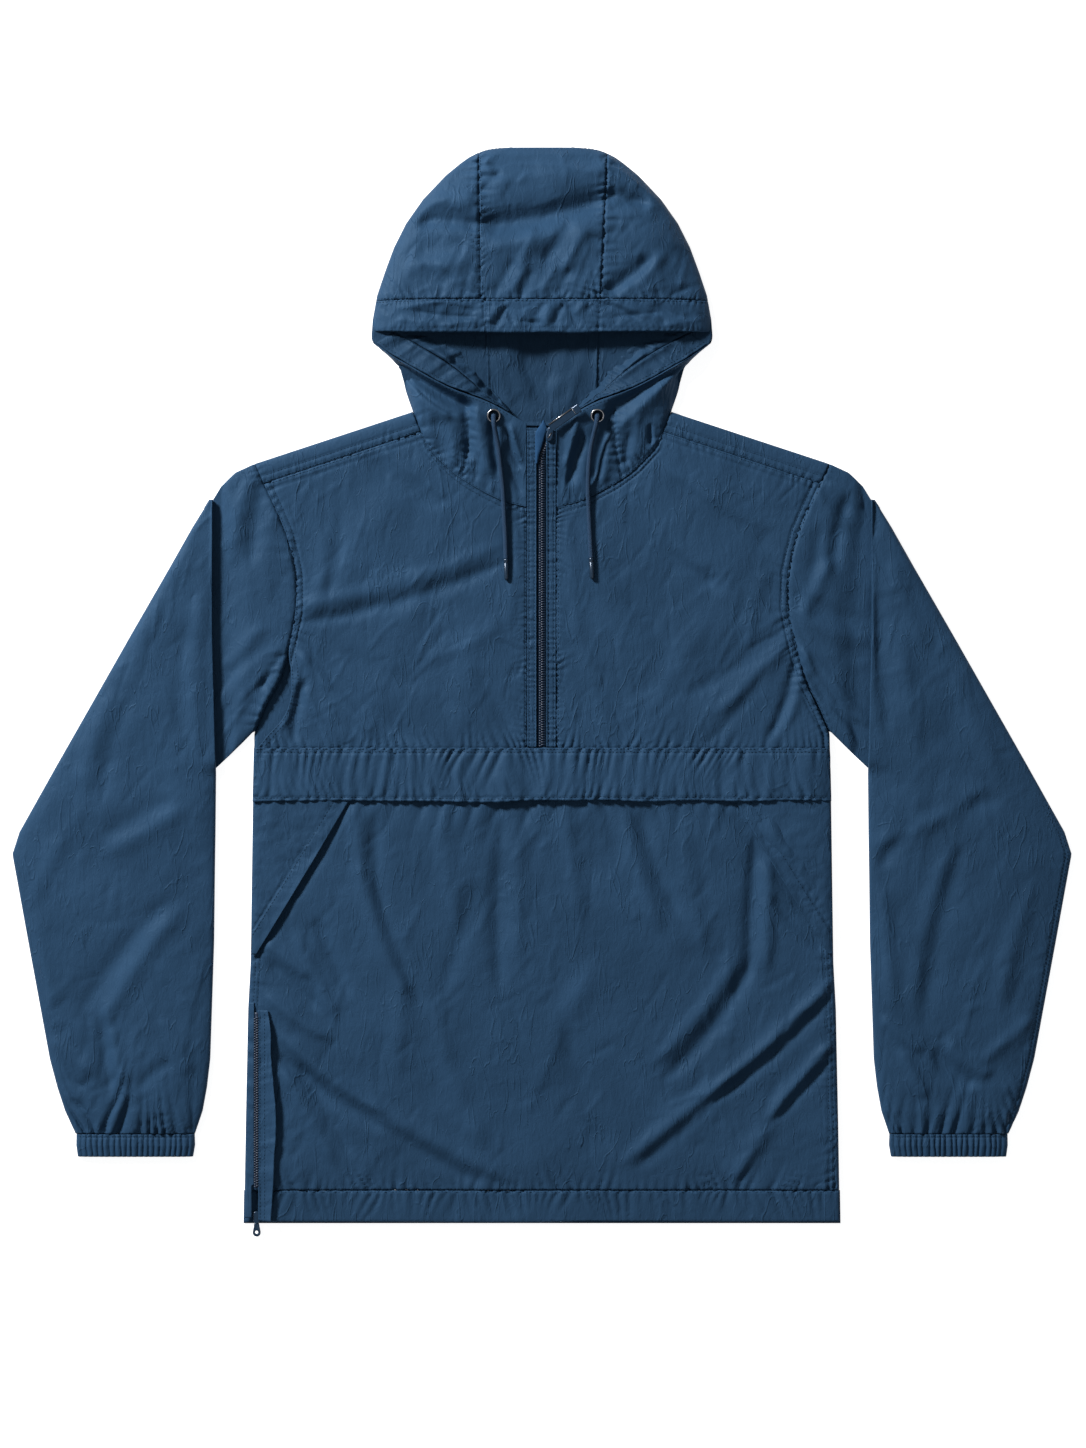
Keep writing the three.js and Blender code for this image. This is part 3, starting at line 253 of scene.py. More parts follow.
RIGHT_SLEEVE_FOLDS = fold_table(
    (239, 40, 268, -10, 3.5, 2.2, 2), (246, 30, 292, -24, 4, -2.6, 4), (262, -8, 296, -56, 6, 1.8, 2),
    (240, 196, 280, 150, 7, 3.6, 3), (282, 180, 268, 110, 7, -4.0, 3), (268, 120, 240, 70, 8, 3.6, 3),
    (256, 150, 246, 90, 7, -2.2), (230, 90, 300, 60, 8, -2.7, 3), (234, 70, 300, 46, 8, 2.3, 3),
    (238, 40, 300, -30, 7, 3.1, 4), (246, 22, 300, -50, 6, -3.2, 3), (262, 190, 296, 170, 6, 2.2),
    (322, 120, 350, 40, 9, 1.8, 3), (310, 100, 318, -40, 8, -1.8, 3), (330, 60, 346, -60, 9, 1.8, 3),
    (380, 10, 420, -80, 10, 1.8), (306, -140, 400, -92, 9, 2.5, 4), (310, -160, 340, -120, 8, -2.7),
    (350, -110, 420, -100, 9, -2.0), (310, -180, 322, -290, 8, 2.2), (384, -150, 352, -300, 9, -2.0, 5),
    (372, -150, 340, -290, 9, 1.8, 5), (450, -180, 420, -290, 9, 2.2, 4), (312, -300, 350, -330, 6, 2.9, 2),
    (360, -330, 398, -362, 8, -3.6, 4), (372, -322, 412, -352, 8, 3.2, 4), (450, -300, 404, -340, 7, 2.3),
    (330, -330, 352, -372, 6, 2.3),
)
SLEEVE_FOLDS = {"left": LEFT_SLEEVE_FOLDS, "right": RIGHT_SLEEVE_FOLDS}
HOOD_FOLDS = fold_table(
    (-60, 426, 64, 453, 12, -9.8, 4), (-52, 464, 58, 478, 14, 3.0), (-50, 404, 56, 426, 11, 3.0),
    (-30, 482, 48, 474, 2.5, 0.9, -3), (-38, 476, -58, 456, 5, -2.2), (-112, 430, -60, 426, 9, -6.0, -3),
    (-110, 452, -62, 448, 9, 3.0), (-128, 418, -136, 404, 4, -1.6), (-114, 402, -70, 410, 12, -2.6),
    (-124, 388, -66, 392, 9, 2.2), (60, 456, 98, 446, 8, -5.4), (62, 440, 92, 452, 6, -2.0),
    (60, 482, 116, 438, 2.6, 1.2, -4), (100, 396, 58, 364, 8, -6.0, -2), (112, 400, 72, 364, 7, 2.8, -2),
    (84, 424, 128, 408, 10, 2.2), (27, 428, 2, 392, 7, -3.2), (40, 420, 20, 384, 7, 2.8),
    (-8, 424, -20, 386, 8, 2.6), (-26, 394, -44, 362, 5, -2.1), (-14, 388, -30, 362, 5, 1.7),
    (-8, 384, -20, 360, 4.5, -1.7), (12, 388, -2, 362, 5, 1.7), (26, 386, 14, 362, 4, -1.5),
    (44, 384, 34, 362, 4, 1.4), (-110, 388, -88, 370, 4, -1.7), (-90, 384, -66, 362, 4, -1.7),
    (-96, 392, -70, 372, 5, 1.6), (146, 374, 118, 362, 3, -1.5), (-50, 488, -44, 472, 4, 1.5, 3),
    (28, 492, 57, 482, 6, -1.0),
)
# Casing of the hood: long slanted folds at the sides and steep crossing ones in the middle
CASING_FOLDS = fold_table(
    (-132, 350, -92, 356, 4, 1.5), (-130, 340, -96, 334, 4, 1.3), (-118, 348, -60, 342, 3, -2.2, 2),
    (-104, 355, -62, 350, 3, 1.7, -2), (-92, 334, -60, 338, 4, 1.5), (-76, 356, -62, 346, 2.5, -1.7),
    (-32, 352, -44, 332, 3, -2.4), (-32, 352, -26, 334, 3, -2.1), (-40, 352, -50, 336, 4, 1.7),
    (-14, 350, -10, 338, 5, 1.8, 3), (-20, 338, 0, 336, 3, -1.7), (2, 354, -6, 342, 3, -1.6),
    (20, 354, 10, 334, 3, -2.2), (24, 352, 32, 332, 3, -2.1), (8, 352, 2, 334, 4, 1.7),
    (40, 356, 30, 344, 4, 1.7), (54, 354, 86, 340, 3, -2.1, -2), (64, 356, 98, 342, 4, 1.8),
    (66, 342, 108, 346, 3, -1.8), (86, 358, 104, 344, 3, -1.7), (104, 356, 128, 342, 3, -1.6, 2),
    (112, 334, 146, 340, 4, 1.5), (130, 356, 146, 346, 3, 1.3),
)
# The hood's neck on the left and on the right: a deep trough under the edge of the face opening, a ridge
# below it, the drawn seam that runs down and the small folds beside the cord
NECK_FOLDS = fold_table(
    (-131, 300, -66, 260, 7.5, -11.5, 3), (-70, 268, -67, 212, 5.5, -5.5), (-127, 288, -82, 250, 8, 3.6, 3),
    (-114, 277, -80, 253, 2.4, -2.0, 2), (-98, 250, -90, 214, 7, -2.2), (-84, 246, -80, 208, 5, 1.8),
    (-60, 260, -48, 198, 7, 3.6, 2), (-47, 248, -41, 200, 4, -3.6), (-35, 238, -18, 204, 5, -3.4, 2),
    (-28, 243, -16, 208, 3.5, 2.8, 2), (-33, 207, -16, 180, 4.5, -2.8), (-58, 218, -61, 194, 3, -1.8),
    (130, 300, 60, 252, 8, -6.6, 3), (62, 256, 46, 192, 7, -5.6), (121, 289, 70, 240, 7, 3.4),
    (99, 244, 100, 226, 2, -3.6), (88, 252, 84, 212, 7, 2.2), (62, 232, 55, 190, 5, 3.0),
    (80, 236, 76, 206, 4, -2.0), (38, 236, 24, 190, 6, -4.6), (32, 250, 20, 206, 4, 3.4, -2),
    (25, 214, 18, 178, 3, 2.0),
)
INNER_FOLDS = fold_table(
    (136, 330, 70, 286, 5, 2.6, 3), (120, 338, 60, 282, 4, -2.3, 3), (104, 330, 84, 300, 5, 2.1),
    (92, 318, 70, 306, 4, 1.8), (76, 300, 44, 268, 4, 2.1), (60, 292, 40, 262, 4, -1.8),
)
UNDER_FOLDS = fold_table(
    (-34, 345, -12, 268, 11, 2.9, 5), (-14, 340, 6, 262, 9, -2.4, 4), (22, 350, 10, 270, 10, 2.6, -4),
    (-44, 310, -30, 262, 6, 1.4), (40, 320, 24, 262, 7, 1.9), (-30, 300, 20, 290, 8, -1.4),
)


# Numbers and curves


def smooth(t):
    t = np.clip(t, 0, 1)
    return t * t * (3 - 2 * t)


def mix(a, b, t):
    return a + (b - a) * t


def look_up(table, column, y):
    rows = sorted(table, key=lambda row: row.y)
    return np.interp(y, [row.y for row in rows], [getattr(row, column) for row in rows])


def noise(x, y, size, seed):
    """Smooth seeded noise from -1 to 1 with bumps about size apart."""
    cells = 64
    values = np.random.default_rng(seed).random((cells, cells)) * 2 - 1
    turn = 0.6 + seed
    across = (x * math.cos(turn) + y * math.sin(turn)) / size
    up = (y * math.cos(turn) - x * math.sin(turn)) / size
    i, j = np.floor(across).astype(int), np.floor(up).astype(int)
    s, t = smooth(across - i), smooth(up - j)
    corner = lambda di, dj: values[(i + di) % cells, (j + dj) % cells]
    low = mix(corner(0, 0), corner(1, 0), s)
    high = mix(corner(0, 1), corner(1, 1), s)
    return mix(low, high, t)


def wobble(s, size, seed):
    """Seeded noise along a line."""
    cells = 256
    values = np.random.default_rng(seed).random(cells) * 2 - 1
    place = np.asarray(s) / size
    i = np.floor(place).astype(int)
    return mix(values[i % cells], values[(i + 1) % cells], smooth(place - i))


def extended(points):
    """The points with one more at each end, straight on."""
    p = np.array(points, float)
    return np.vstack([2 * p[0] - p[1], p, 2 * p[-1] - p[-2]])


def arc_of(line):
    """Distance along a line at each of its points."""
    return np.concatenate([[0], np.cumsum(np.linalg.norm(np.diff(line, axis=0), axis=1))])


def read_at(places, stations, rows):
    """Each column of the rows, read at places between the stations."""
    return np.stack([np.interp(places, stations, column) for column in rows.T], axis=-1)


def resampled(line, shares):
    """Points at the given shares of a line's length."""
    line = np.asarray(line, float)
    arc = arc_of(line)
    return read_at(np.asarray(shares) * arc[-1], arc, line)


def curve_through(points, count):
    """Centripetal Catmull-Rom curve through the points, in even steps of its length."""
    p = extended(points)
    dense = []
    for k in range(1, len(p) - 2):
        a, b, c, d = p[k - 1:k + 3]
        t1 = math.sqrt(np.linalg.norm(b - a))
        t2 = t1 + math.sqrt(np.linalg.norm(c - b))
        t3 = t2 + math.sqrt(np.linalg.norm(d - c))
        for t in np.linspace(t1, t2, 24, endpoint=False):
            ab = a * (t1 - t) / t1 + b * t / t1
            bc = b * (t2 - t) / (t2 - t1) + c * (t - t1) / (t2 - t1)
            cd = c * (t3 - t) / (t3 - t2) + d * (t - t2) / (t3 - t2)
            abc = ab * (t2 - t) / t2 + bc * t / t2
            bcd = bc * (t3 - t) / (t3 - t1) + cd * (t - t1) / (t3 - t1)
            dense.append(abc * (t2 - t) / (t2 - t1) + bcd * (t - t1) / (t2 - t1))
    return resampled([*dense, p[-2]], np.linspace(0, 1, count))


def at_stations(points, shares):
    """Points at even shares of the station number, on a smooth curve through the stations."""
    p = extended(points)
    rows = []
    for k in range(1, len(p) - 2):
        a, b, c, d = p[k - 1:k + 3]
        for t in np.linspace(0, 1, 16, endpoint=False):
            rows.append(0.5 * (2 * b + (c - a) * t + (2 * a - 5 * b + 4 * c - d) * t**2
                               + (3 * b - a - 3 * c + d) * t**3))
    rows = np.array([*rows, p[-2]])
    return read_at(np.asarray(shares), np.linspace(0, 1, len(rows)), rows)


def shares_for(length, fine, coarse, reach):
    """Shares of a length from 0 to 1 in an even number of steps, finer within reach of both ends."""
    places = [0.0]
    while places[-1] < length:
        near = min(places[-1], length - places[-1])
        places.append(places[-1] + mix(fine, coarse, float(smooth((near - reach) / reach))))
    if len(places) % 2 == 0:
        places.append(places[-1] + fine)
    return np.array(places) / places[-1]


def with_depth(points, side):
    """Stations as 3-D points on one side of the garment."""
    return np.array([(side * p[0], p[1], p[2] if len(p) > 2 else 0) for p in points], float)


def mirrored(points, side):
    return [(side * x, y) for x, y in points]


def level_line(y, reach=265):
    return [(-reach, y), (reach, y)]


def unit(direction):
    return np.asarray(direction, float) / np.linalg.norm(direction)


# Reliefs: heights in millimetres that are added to the large form


def along_fold(x, y, f):
    """Share of the way along a fold's line, and the distance from it."""
    run_x, run_y = f.x1 - f.x0, f.y1 - f.y0
    length = math.hypot(run_x, run_y)
    share = ((x - f.x0) * run_x + (y - f.y0) * run_y) / length**2
    return share, ((x - f.x0) * run_y - (y - f.y0) * run_x) / length


def folds(x, y, table, pinch=2.0):
    """Soft ridges and troughs along the table's lines, each tapering to its ends."""
    total = np.zeros(x.shape)
    for f in table:
        t, offset = along_fold(x, y, f)
        inside = (t > -0.12) & (t < 1.12)
        t = t[inside]
        offset = offset[inside] - f.bow * 4 * t * (1 - t)
        width = f.half * (0.55 + 0.45 * np.sqrt(np.clip(4 * t * (1 - t), 0, 1)))
        ends = smooth(t * 4 + 0.4) * smooth((1 - t) * 4 + 0.4)
        total[inside] += f.height * ends * np.exp(-np.abs(offset / width) ** pinch)
    return total


def main_folds(x, y):
    """The solids' own folds, in the same profile as theirs."""
    total = np.zeros(x.shape)
    for f in MAIN_FOLDS:
        t, offset = along_fold(x, y, f)
        total += f.height * smooth(t * 5 + 0.5) * smooth((1 - t) * 5 + 0.5) * np.exp(-(offset / f.half) ** 2)
    return total


def crinkles(x, y, count, seed, lean=68, spread=28, longest=46, height=0.5):
    """Many short thin creases, mostly steep and leaning to the right."""
    draw = np.random.default_rng(seed)
    rows = []
    for _ in range(count):
        centre_x = draw.uniform(x.min(), x.max())
        centre_y = draw.uniform(y.min(), y.max())
        turn = math.radians(draw.normal(lean, spread))
        reach = draw.uniform(0.25, 1) * longest / 2
        tall = draw.uniform(0.3, 1) * height * draw.choice([-1, 1])
        half = draw.uniform(1.6, 3.6)
        dx, dy = reach * math.cos(turn), reach * math.sin(turn)
        bow = draw.uniform(-2.5, 2.5)
        rows.append(Fold(centre_x - dx, centre_y - dy, centre_x + dx, centre_y + dy, half, tall, bow))
    return folds(x, y, rows, 1.5)


def along_line(x, y, line):
    """Distance from a line, the way along it and the side, for every point."""
    shape = x.shape
    px, py = x.ravel(), y.ravel()
    nearest = np.full(px.size, 1e9)
    arc = np.zeros(px.size)
    side = np.ones(px.size)
    start = 0.0
    for (ax, ay), (bx, by) in zip(line[:-1], line[1:]):
        dx, dy = bx - ax, by - ay
        length = math.hypot(dx, dy)
        t = np.clip(((px - ax) * dx + (py - ay) * dy) / length**2, 0, 1)
        ex, ey = px - ax - t * dx, py - ay - t * dy
        away = np.hypot(ex, ey)
        closer = away < nearest
        nearest[closer] = away[closer]
        arc[closer] = start + t[closer] * length
        side[closer] = np.sign(dx * ey - dy * ex)[closer]
        start += length
    return nearest.reshape(shape), arc.reshape(shape), side.reshape(shape)


def puckers(x, y, line, depth, wave, reach, seed, groove=0.5, rows=(0,), slant=0.0, tail=0.5):
    """Cloth drawn up along a seam: short tucks with low tails, and a groove at each row of stitches."""
    away, arc, side = along_line(x, y, line)
    lean = away * (slant + 0.6 * wobble(arc, wave * 4, seed + 1))
    place = arc + lean + 97.3 * side
    turn = math.pi * (place / wave + 0.8 * wobble(place, wave * 2.6, seed))
    strength = 0.65 + 0.35 * wobble(place, wave * 1.4, seed + 2)
    ripple = (2 * np.abs(np.sin(turn)) ** 0.75 - 1.42) * strength
    here = reach * (1 + 0.7 * wobble(arc + 31 * side, wave * 1.7, seed + 3))
    pinched = (1 - tail) * np.exp(-(away / np.maximum(here * 0.55, 3)) ** 2)
    total = depth * ripple * (1.5 * pinched + tail * np.exp(-away / np.maximum(here, 2)))
    for row in rows:
        close = np.abs(away - row)
        total = total * (1 - 0.35 * np.exp(-(close / 1.2) ** 2)) - groove * np.exp(-(close / 1.1) ** 2)
    return total


def rumple(x, y, size, height, seed):
    """Low uneven swell of loose cloth."""
    return height * (noise(x, y, size, seed) + 0.5 * noise(x, y, size * 0.46, seed + 1))


# The large form of the body and the hood


def body_half(y):
    return look_up(BODY_SIDES, "half", y)


def hood_half(y):
    return look_up(HOOD_SIDES, "half", y)


def shoulder_distance(x, y):
    (outer_x, outer_y), (inner_x, inner_y) = ARMHOLE[0], NECK_SEAM[0]
    run_x, run_y = inner_x - outer_x, inner_y - outer_y
    return ((y - outer_y) * run_x - (np.abs(x) - outer_x) * run_y) / math.hypot(run_x, run_y)


def from_edge(x, y):
    """0 on the rounded edge at the sides and shoulders, 1 and more where the front lies level."""
    side = np.where(y < 0, body_half(y) - np.abs(x), BODY_EDGE_ROUND)
    return np.minimum(side, shoulder_distance(x, y)) / BODY_EDGE_ROUND


def body_top(x, y):
    """Outer height of the front, rounding down to the sides, the shoulders and the hem."""
    edge = np.clip(from_edge(x, y), 0, 1)
    full = BODY_LOFT + main_folds(x, y) - 1.4 * smooth((-430 - y) / 58)
    return mix(BODY_EDGE_HEIGHT, full, np.sqrt(1 - (1 - edge) ** 2))


def hood_across(x, y):
    """0 on the hood's middle line, 1 on its outline."""
    return np.clip(np.abs(x) / hood_half(y), 0, 1)


def hood_top(x, y):
    rise = look_up(HOOD_HEIGHTS, "height", y)
    return CLOTH_WALL + LAYER_GAP + rise * np.sqrt(np.maximum(0, 1 - hood_across(x, y) ** HOOD_FULLNESS))


def zip_top(y):
    y = np.asarray(y, float)
    along = np.minimum(y, 160)
    return body_top(np.full_like(y, ZIP_X), along) + 8.2 * smooth((y - 150) / 95)


def edge_fade(x, y):
    """Falls to nothing where the body rounds down, so that its outline stays clean."""
    return 0.25 + 0.75 * smooth(from_edge(x, y))


def chest_surface(x, y):
    total = body_top(x, y) + folds(x, y, CHEST_FOLDS) * edge_fade(x, y)
    total += rumple(x, y, 42, 0.8, 11) + rumple(x, y, 15, 0.2, 13)
    total += crinkles(x, y, 150, 17, height=0.6)
    for side in (-1, 1):
        total += puckers(x, y, mirrored(ARMHOLE, side), 1.6, 6.5, 14, 21 + side, 0.9, (1, 7))
        total += puckers(x, y, mirrored(NECK_SEAM, side), 0.6, 7, 7, 31 + side, 0.7, (1, 5))
        total += puckers(x, y, mirrored(SHOULDER_SEAM, side), 1.1, 6.5, 10, 41 + side, 0.8, (1, 7))
        edge = ZIP_X + side * PLACKET_HALF_WIDTH
        total += puckers(x, y, [(edge, -60), (edge, 175)], 1.1, 5.5, 9, 51 + side, 0.6, (1,))
    total += puckers(x, y, level_line(BAND_TOP_Y), 1.4, 8, 14, 61, 0.4)
    return np.maximum(total, 2.2)


def pouch_surface(x, y):
    total = body_top(x, y) + folds(x, y, POUCH_FOLDS) * edge_fade(x, y)
    total += rumple(x, y, 46, 1.0, 71) + rumple(x, y, 16, 0.25, 73)
    total += crinkles(x, y, 260, 77, height=0.8)
    total += puckers(x, y, level_line(HEM_SEAM_Y, 275), 1.7, 9, 20, 81, 0.8)
    total += puckers(x, y, level_line(BAND_BOTTOM_Y), 1.4, 22, 40, 83, 0)
    for side in (-1, 1):
        seam = [(side * (s.half - 5.5), s.y) for s in BODY_SIDES]
        total += puckers(x, y, seam, 1.0, 8, 12, 87 + side, 0.6, (0, 4))
        total += folds(x, y, [Fold(side * 173, -94, side * 266, -246, 7, -2.4)])
    return np.maximum(total, 1.9)


def yoke_surface(x, y):
    total = body_top(x, y)
    for side in (-1, 1):
        total += puckers(x, y, mirrored(SHOULDER_SEAM, side), 0.8, 7.5, 9, 91 + side, 0.7, (1, 7))
        total += puckers(x, y, mirrored(NECK_SEAM, side), 0.7, 7, 7, 93 + side, 0.5)
        total += puckers(x, y, mirrored(ARMHOLE, side), 0.7, 7, 7, 95 + side, 0.5)
    return np.maximum(total, 2.2)


def crown_line(side):
    low, high = CROWN_SEAMS
    share = np.linspace(0, 1, 29)
    name = "left" if side < 0 else "right"
    x = side * mix(getattr(low, name), getattr(high, name), share)
    return list(zip(x + 0.5 * wobble(share * 140, 9, 115 + side), mix(low.y, high.y, share)))


def casing_seam(shift=0.0):
    x = np.linspace(-160, 160, 65)
    return list(zip(x, CASING_SEAM_Y + shift + 0.7 * wobble(x, 9, 119)))


def hood_surface(x, y):
    fade = smooth((1 - hood_across(x, y)) * 7) * smooth((CROWN_TOP_Y + 2 - y) / 16)
    relief = folds(x, y, HOOD_FOLDS, 1.8) + rumple(x, y, 34, 1.1, 101) + rumple(x, y, 12, 0.2, 103)
    relief += crinkles(x, y, 50, 107, lean=62, spread=35, longest=44, height=0.8)
    for side in (-1, 1):
        relief += puckers(x, y, crown_line(side), 1.9, 9, 15, 111 + side, 0.5, (0,), 0.3 * side)
        relief += puckers(x, y, crown_line(side), 1.1, 4.4, 5, 121 + side, 0.5)
    relief += puckers(x, y, casing_seam(), 1.5, 9, 16, 117, 0.4)
    relief += puckers(x, y, casing_seam(), 1.3, 4.6, 6, 118, 0.5)
    return hood_top(x, y) + relief * (0.12 + 0.88 * fade)


# Meshes from grids of points


def grid_normals(grid, ring=False):
    if ring:
        right = np.roll(grid, -1, axis=1) - np.roll(grid, 1, axis=1)
    else:
        right = np.gradient(grid, axis=1)
    up = np.gradient(grid, axis=0)
    normal = np.cross(right, up)
    size = np.linalg.norm(normal, axis=2, keepdims=True)
    return normal / np.maximum(size, 1e-9)


def outward(points, faces):
    """The faces, all turned over if they look inward."""
    points = np.asarray(points, float)
    fans = np.array([(f[0], b, c) for f in faces for b, c in zip(f[1:-1], f[2:])])
    a, b, c = (points[fans[:, k]] for k in range(3))
    volume = np.einsum("ij,ij->", a, np.cross(b, c))
    return faces if volume >= 0 else [f[::-1] for f in faces]


def new_object(name, points, faces, material, sharp=()):
    """A mesh object from points in millimetres on the garment, smooth but for faces with so many corners."""
    mesh = bpy.data.meshes.new(name)
    place = (np.asarray(points, float) + (0, CENTRE_SHIFT_Y, 0)) * MM
    mesh.from_pydata(place.tolist(), [], [list(map(int, f)) for f in outward(points, faces)])
    mesh.validate()
    mesh.polygons.foreach_set("use_smooth", [len(p.vertices) not in sharp for p in mesh.polygons])
    mesh.materials.append(material)
    obj = bpy.data.objects.new(name, mesh)
    bpy.context.scene.collection.objects.link(obj)
    return obj


def fitted(piece, node=None, body=BODY):
    """Puts a piece on its body and, where it stands for a solid, hides that solid so that the piece shows in
    its place.
    """
    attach(piece, body)
    if node:
        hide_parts(node)
    return piece


def circle(centre, across, up, radius, sides):
    turns = 2 * math.pi * np.arange(sides)[:, None] / sides
    return centre + radius * (np.asarray(across) * np.cos(turns) + np.asarray(up) * np.sin(turns))


def through_rings(rings, around=False):
    """Points and faces of a form through rings: capped at its ends, or joined where it goes around."""
    rings = np.array(rings, float)
    number, count = rings.shape[:2]
    faces = []
    for j in range(number if around else number - 1):
        low, high = j * count, (j + 1) % number * count
        for k in range(count):
            following = (k + 1) % count
            faces.append((low + k, low + following, high + following, high + k))
    if not around:
        faces.append(tuple(range(count))[::-1])
        faces.append(tuple(range((number - 1) * count, number * count)))
    return rings.reshape(-1, 3), faces


def turned(start, heading, profile, sides=20):
    """Points and faces of a round form along a line: profile rows are distance along it and radius."""
    heading = unit(heading)
    across = unit(np.cross(heading, (0, 0, 1)))
    up = np.cross(across, heading)
    rings = [circle(start + heading * far, across, up, radius, sides) for far, radius in profile]
    return through_rings(rings)


def rod(start, end, radius):
    """A thin round bar with its ends closed."""
    run = np.subtract(end, start)
    return turned(start, run, [(0, radius), (np.linalg.norm(run), radius)], 10)


def merged(forms):
    """Several forms, each with its faces outward, as the points and faces of one."""
    points, faces = [], []
    for form_points, form_faces in forms:
        faces += [tuple(len(points) + k for k in face) for face in outward(form_points, form_faces)]
        points += list(form_points)
    return points, faces


def plate_rings(outline, levels):
    """Rings of an outline at each level: its height and how far it is drawn in."""
    outline = np.array(outline, float)
    inward = outline.mean(axis=0) - outline
    inward /= np.linalg.norm(inward, axis=1, keepdims=True)
    return [[(*place, z) for place in outline + inward * inset] for z, inset in levels]


def shell(name, grid, material, wall=SHELL, ring=False, coarse=True):
    """Closed thin cloth: the outer grid, an inner one moved in by the wall, and the rims between."""
    rows, columns = grid.shape[:2]
    normals = grid_normals(grid, ring)
    if ring:
        middle = grid[rows // 2]
        highest = middle[:, 2].argmax()
        flip = normals[rows // 2, highest, 2] < 0
    else:
        flip = normals[rows // 2, columns // 2, 2] < 0
    if flip:
        normals = -normals
    step = 2 if coarse and not ring else 1
    inner = grid - normals * wall
    if step == 2:
        padded = np.pad(grid[:, :, 2], 1, mode="edge")
        around = [padded[j:j + rows, i:i + columns] for j in range(3) for i in range(3)]
        inner[:, :, 2] = np.minimum(inner[:, :, 2], np.min(around, axis=0) - wall * 0.6)
        inner = inner[::2, ::2]
    inner[:, :, 2] = np.maximum(inner[:, :, 2], 0.15)
    points = np.vstack([grid.reshape(-1, 3), inner.reshape(-1, 3)])
    inner_rows, inner_columns = inner.shape[:2]
    base = rows * columns
    out = lambda j, i: j * columns + i % columns
    inn = lambda j, i: base + j * inner_columns + i % inner_columns
    faces = []
    wide = columns if ring else columns - 1
    inner_wide = inner_columns if ring else inner_columns - 1
    for j in range(rows - 1):
        faces += [(out(j, i), out(j, i + 1), out(j + 1, i + 1), out(j + 1, i)) for i in range(wide)]
    for j in range(inner_rows - 1):
        faces += [(inn(j, i), inn(j + 1, i), inn(j + 1, i + 1), inn(j, i + 1)) for i in range(inner_wide)]
    rims = [
        [(out(0, i), inn(0, i // step)) for i in range(wide + 1)][::-1],
        [(out(rows - 1, i), inn(inner_rows - 1, i // step)) for i in range(wide + 1)],
    ]
    if not ring:
        rims.append([(out(j, 0), inn(j // step, 0)) for j in range(rows)])
        rims.append([(out(j, columns - 1), inn(j // step, inner_columns - 1)) for j in range(rows)][::-1])
    for rim in rims:
        for k in range(0, len(rim) - 1, step):
            run = rim[k:k + step + 1]
            (start_out, start_in), (end_out, end_in) = run[0], run[-1]
            if step == 1:
                faces.append((start_out, end_out, end_in, start_in))
                continue
            middle_out = run[1][0]
            faces.append((start_out, middle_out, start_in))
            faces.append((middle_out, end_in, start_in))
            faces.append((middle_out, end_out, end_in))
    return new_object(name, points, faces, material)


Cut = namedtuple("Cut", "width length area", defaults=[None])


def cloth(node, grid, cut, slot="nylon", held="laid", **how):
    """One cut piece of the garment in place of its solid; the size that it was cut to is not used."""
    piece = fitted(shell(f"{node}_cloth", grid, MATERIALS[slot], **how), node)


def patch(bottom, top, left, right, shares_u, shares_v):
    """Coons patch between four runs of points."""
    u = np.asarray(shares_u)[None, :, None]
    v = np.asarray(shares_v)[:, None, None]
    ruled = bottom[None] * (1 - v) + top[None] * v + left[:, None] * (1 - u) + right[:, None] * u
    corners = (bottom[0] * (1 - u) + bottom[-1] * u) * (1 - v) + (top[0] * (1 - u) + top[-1] * u) * v
    return ruled - corners


def drawn_in(grid, gap=SEAM_GAP / 2):
    """Draws a patch's edges in, so that neighbours stay apart."""
    first = grid.copy()
    for edge, inside in ((np.s_[:, 0], np.s_[:, 1]), (np.s_[:, -1], np.s_[:, -2]),
                         (np.s_[0], np.s_[1]), (np.s_[-1], np.s_[-2])):
        away = first[inside] - first[edge]
        size = np.linalg.norm(away, axis=-1, keepdims=True)
        grid[edge] += away / np.maximum(size, 1e-9) * np.minimum(gap, size * 0.45)
    return grid


def grid_of(x, y, height):
    """Grid of points from x, y and height, where the height may be a function of both."""
    x, y = np.broadcast_arrays(x, y)
    z = height(x, y) if callable(height) else height
    return np.stack(np.broadcast_arrays(x, y, z), axis=2).astype(float)


def laid(plan, surface):
    """A plan grid set on a height function."""
    return grid_of(plan[:, :, 0], plan[:, :, 1], surface)


# Sewing: rows of short sewn stitches on the cloth beside an edge; their dark colour is painted shade of the
# needle holes

STITCHES = {}


def beside_edge(grid, edge, offset):
    """Line on the cloth at a distance from one edge of its grid, with the direction off the cloth."""
    turned_grid = {
        "bottom": grid, "top": grid[::-1],
        "left": grid.transpose(1, 0, 2), "right": grid[:, ::-1].transpose(1, 0, 2),
    }[edge]
    normals = grid_normals(turned_grid)
    normals = np.where(normals[:, :, 2:3] < 0, -normals, normals)
    line, up = [], []
    for i in range(turned_grid.shape[1]):
        column = turned_grid[:, i]
        arc = arc_of(column)
        line.append(read_at(offset, arc, column))
        up.append(read_at(offset, arc, normals[:, i]))
    return np.array(line), np.array(up)


def sew(group, grid, *seams, pitch=3.4):
    """Adds rows of stitches to a group: edge, distance from it, and start and stop if not whole."""
    for edge, offset, *span in seams:
        start, stop = span or (0, 1)
        line, up = beside_edge(grid, edge, offset)
        arc = arc_of(line)
        places = np.arange(start * arc[-1] + pitch, stop * arc[-1] - pitch, pitch)
        lift = read_at(places, arc, up)
        reach = read_at(places + pitch * 0.36, arc, line) - read_at(places - pitch * 0.36, arc, line)
        STITCHES.setdefault(group, []).append((read_at(places, arc, line) + lift * 0.12, reach / 2, lift))


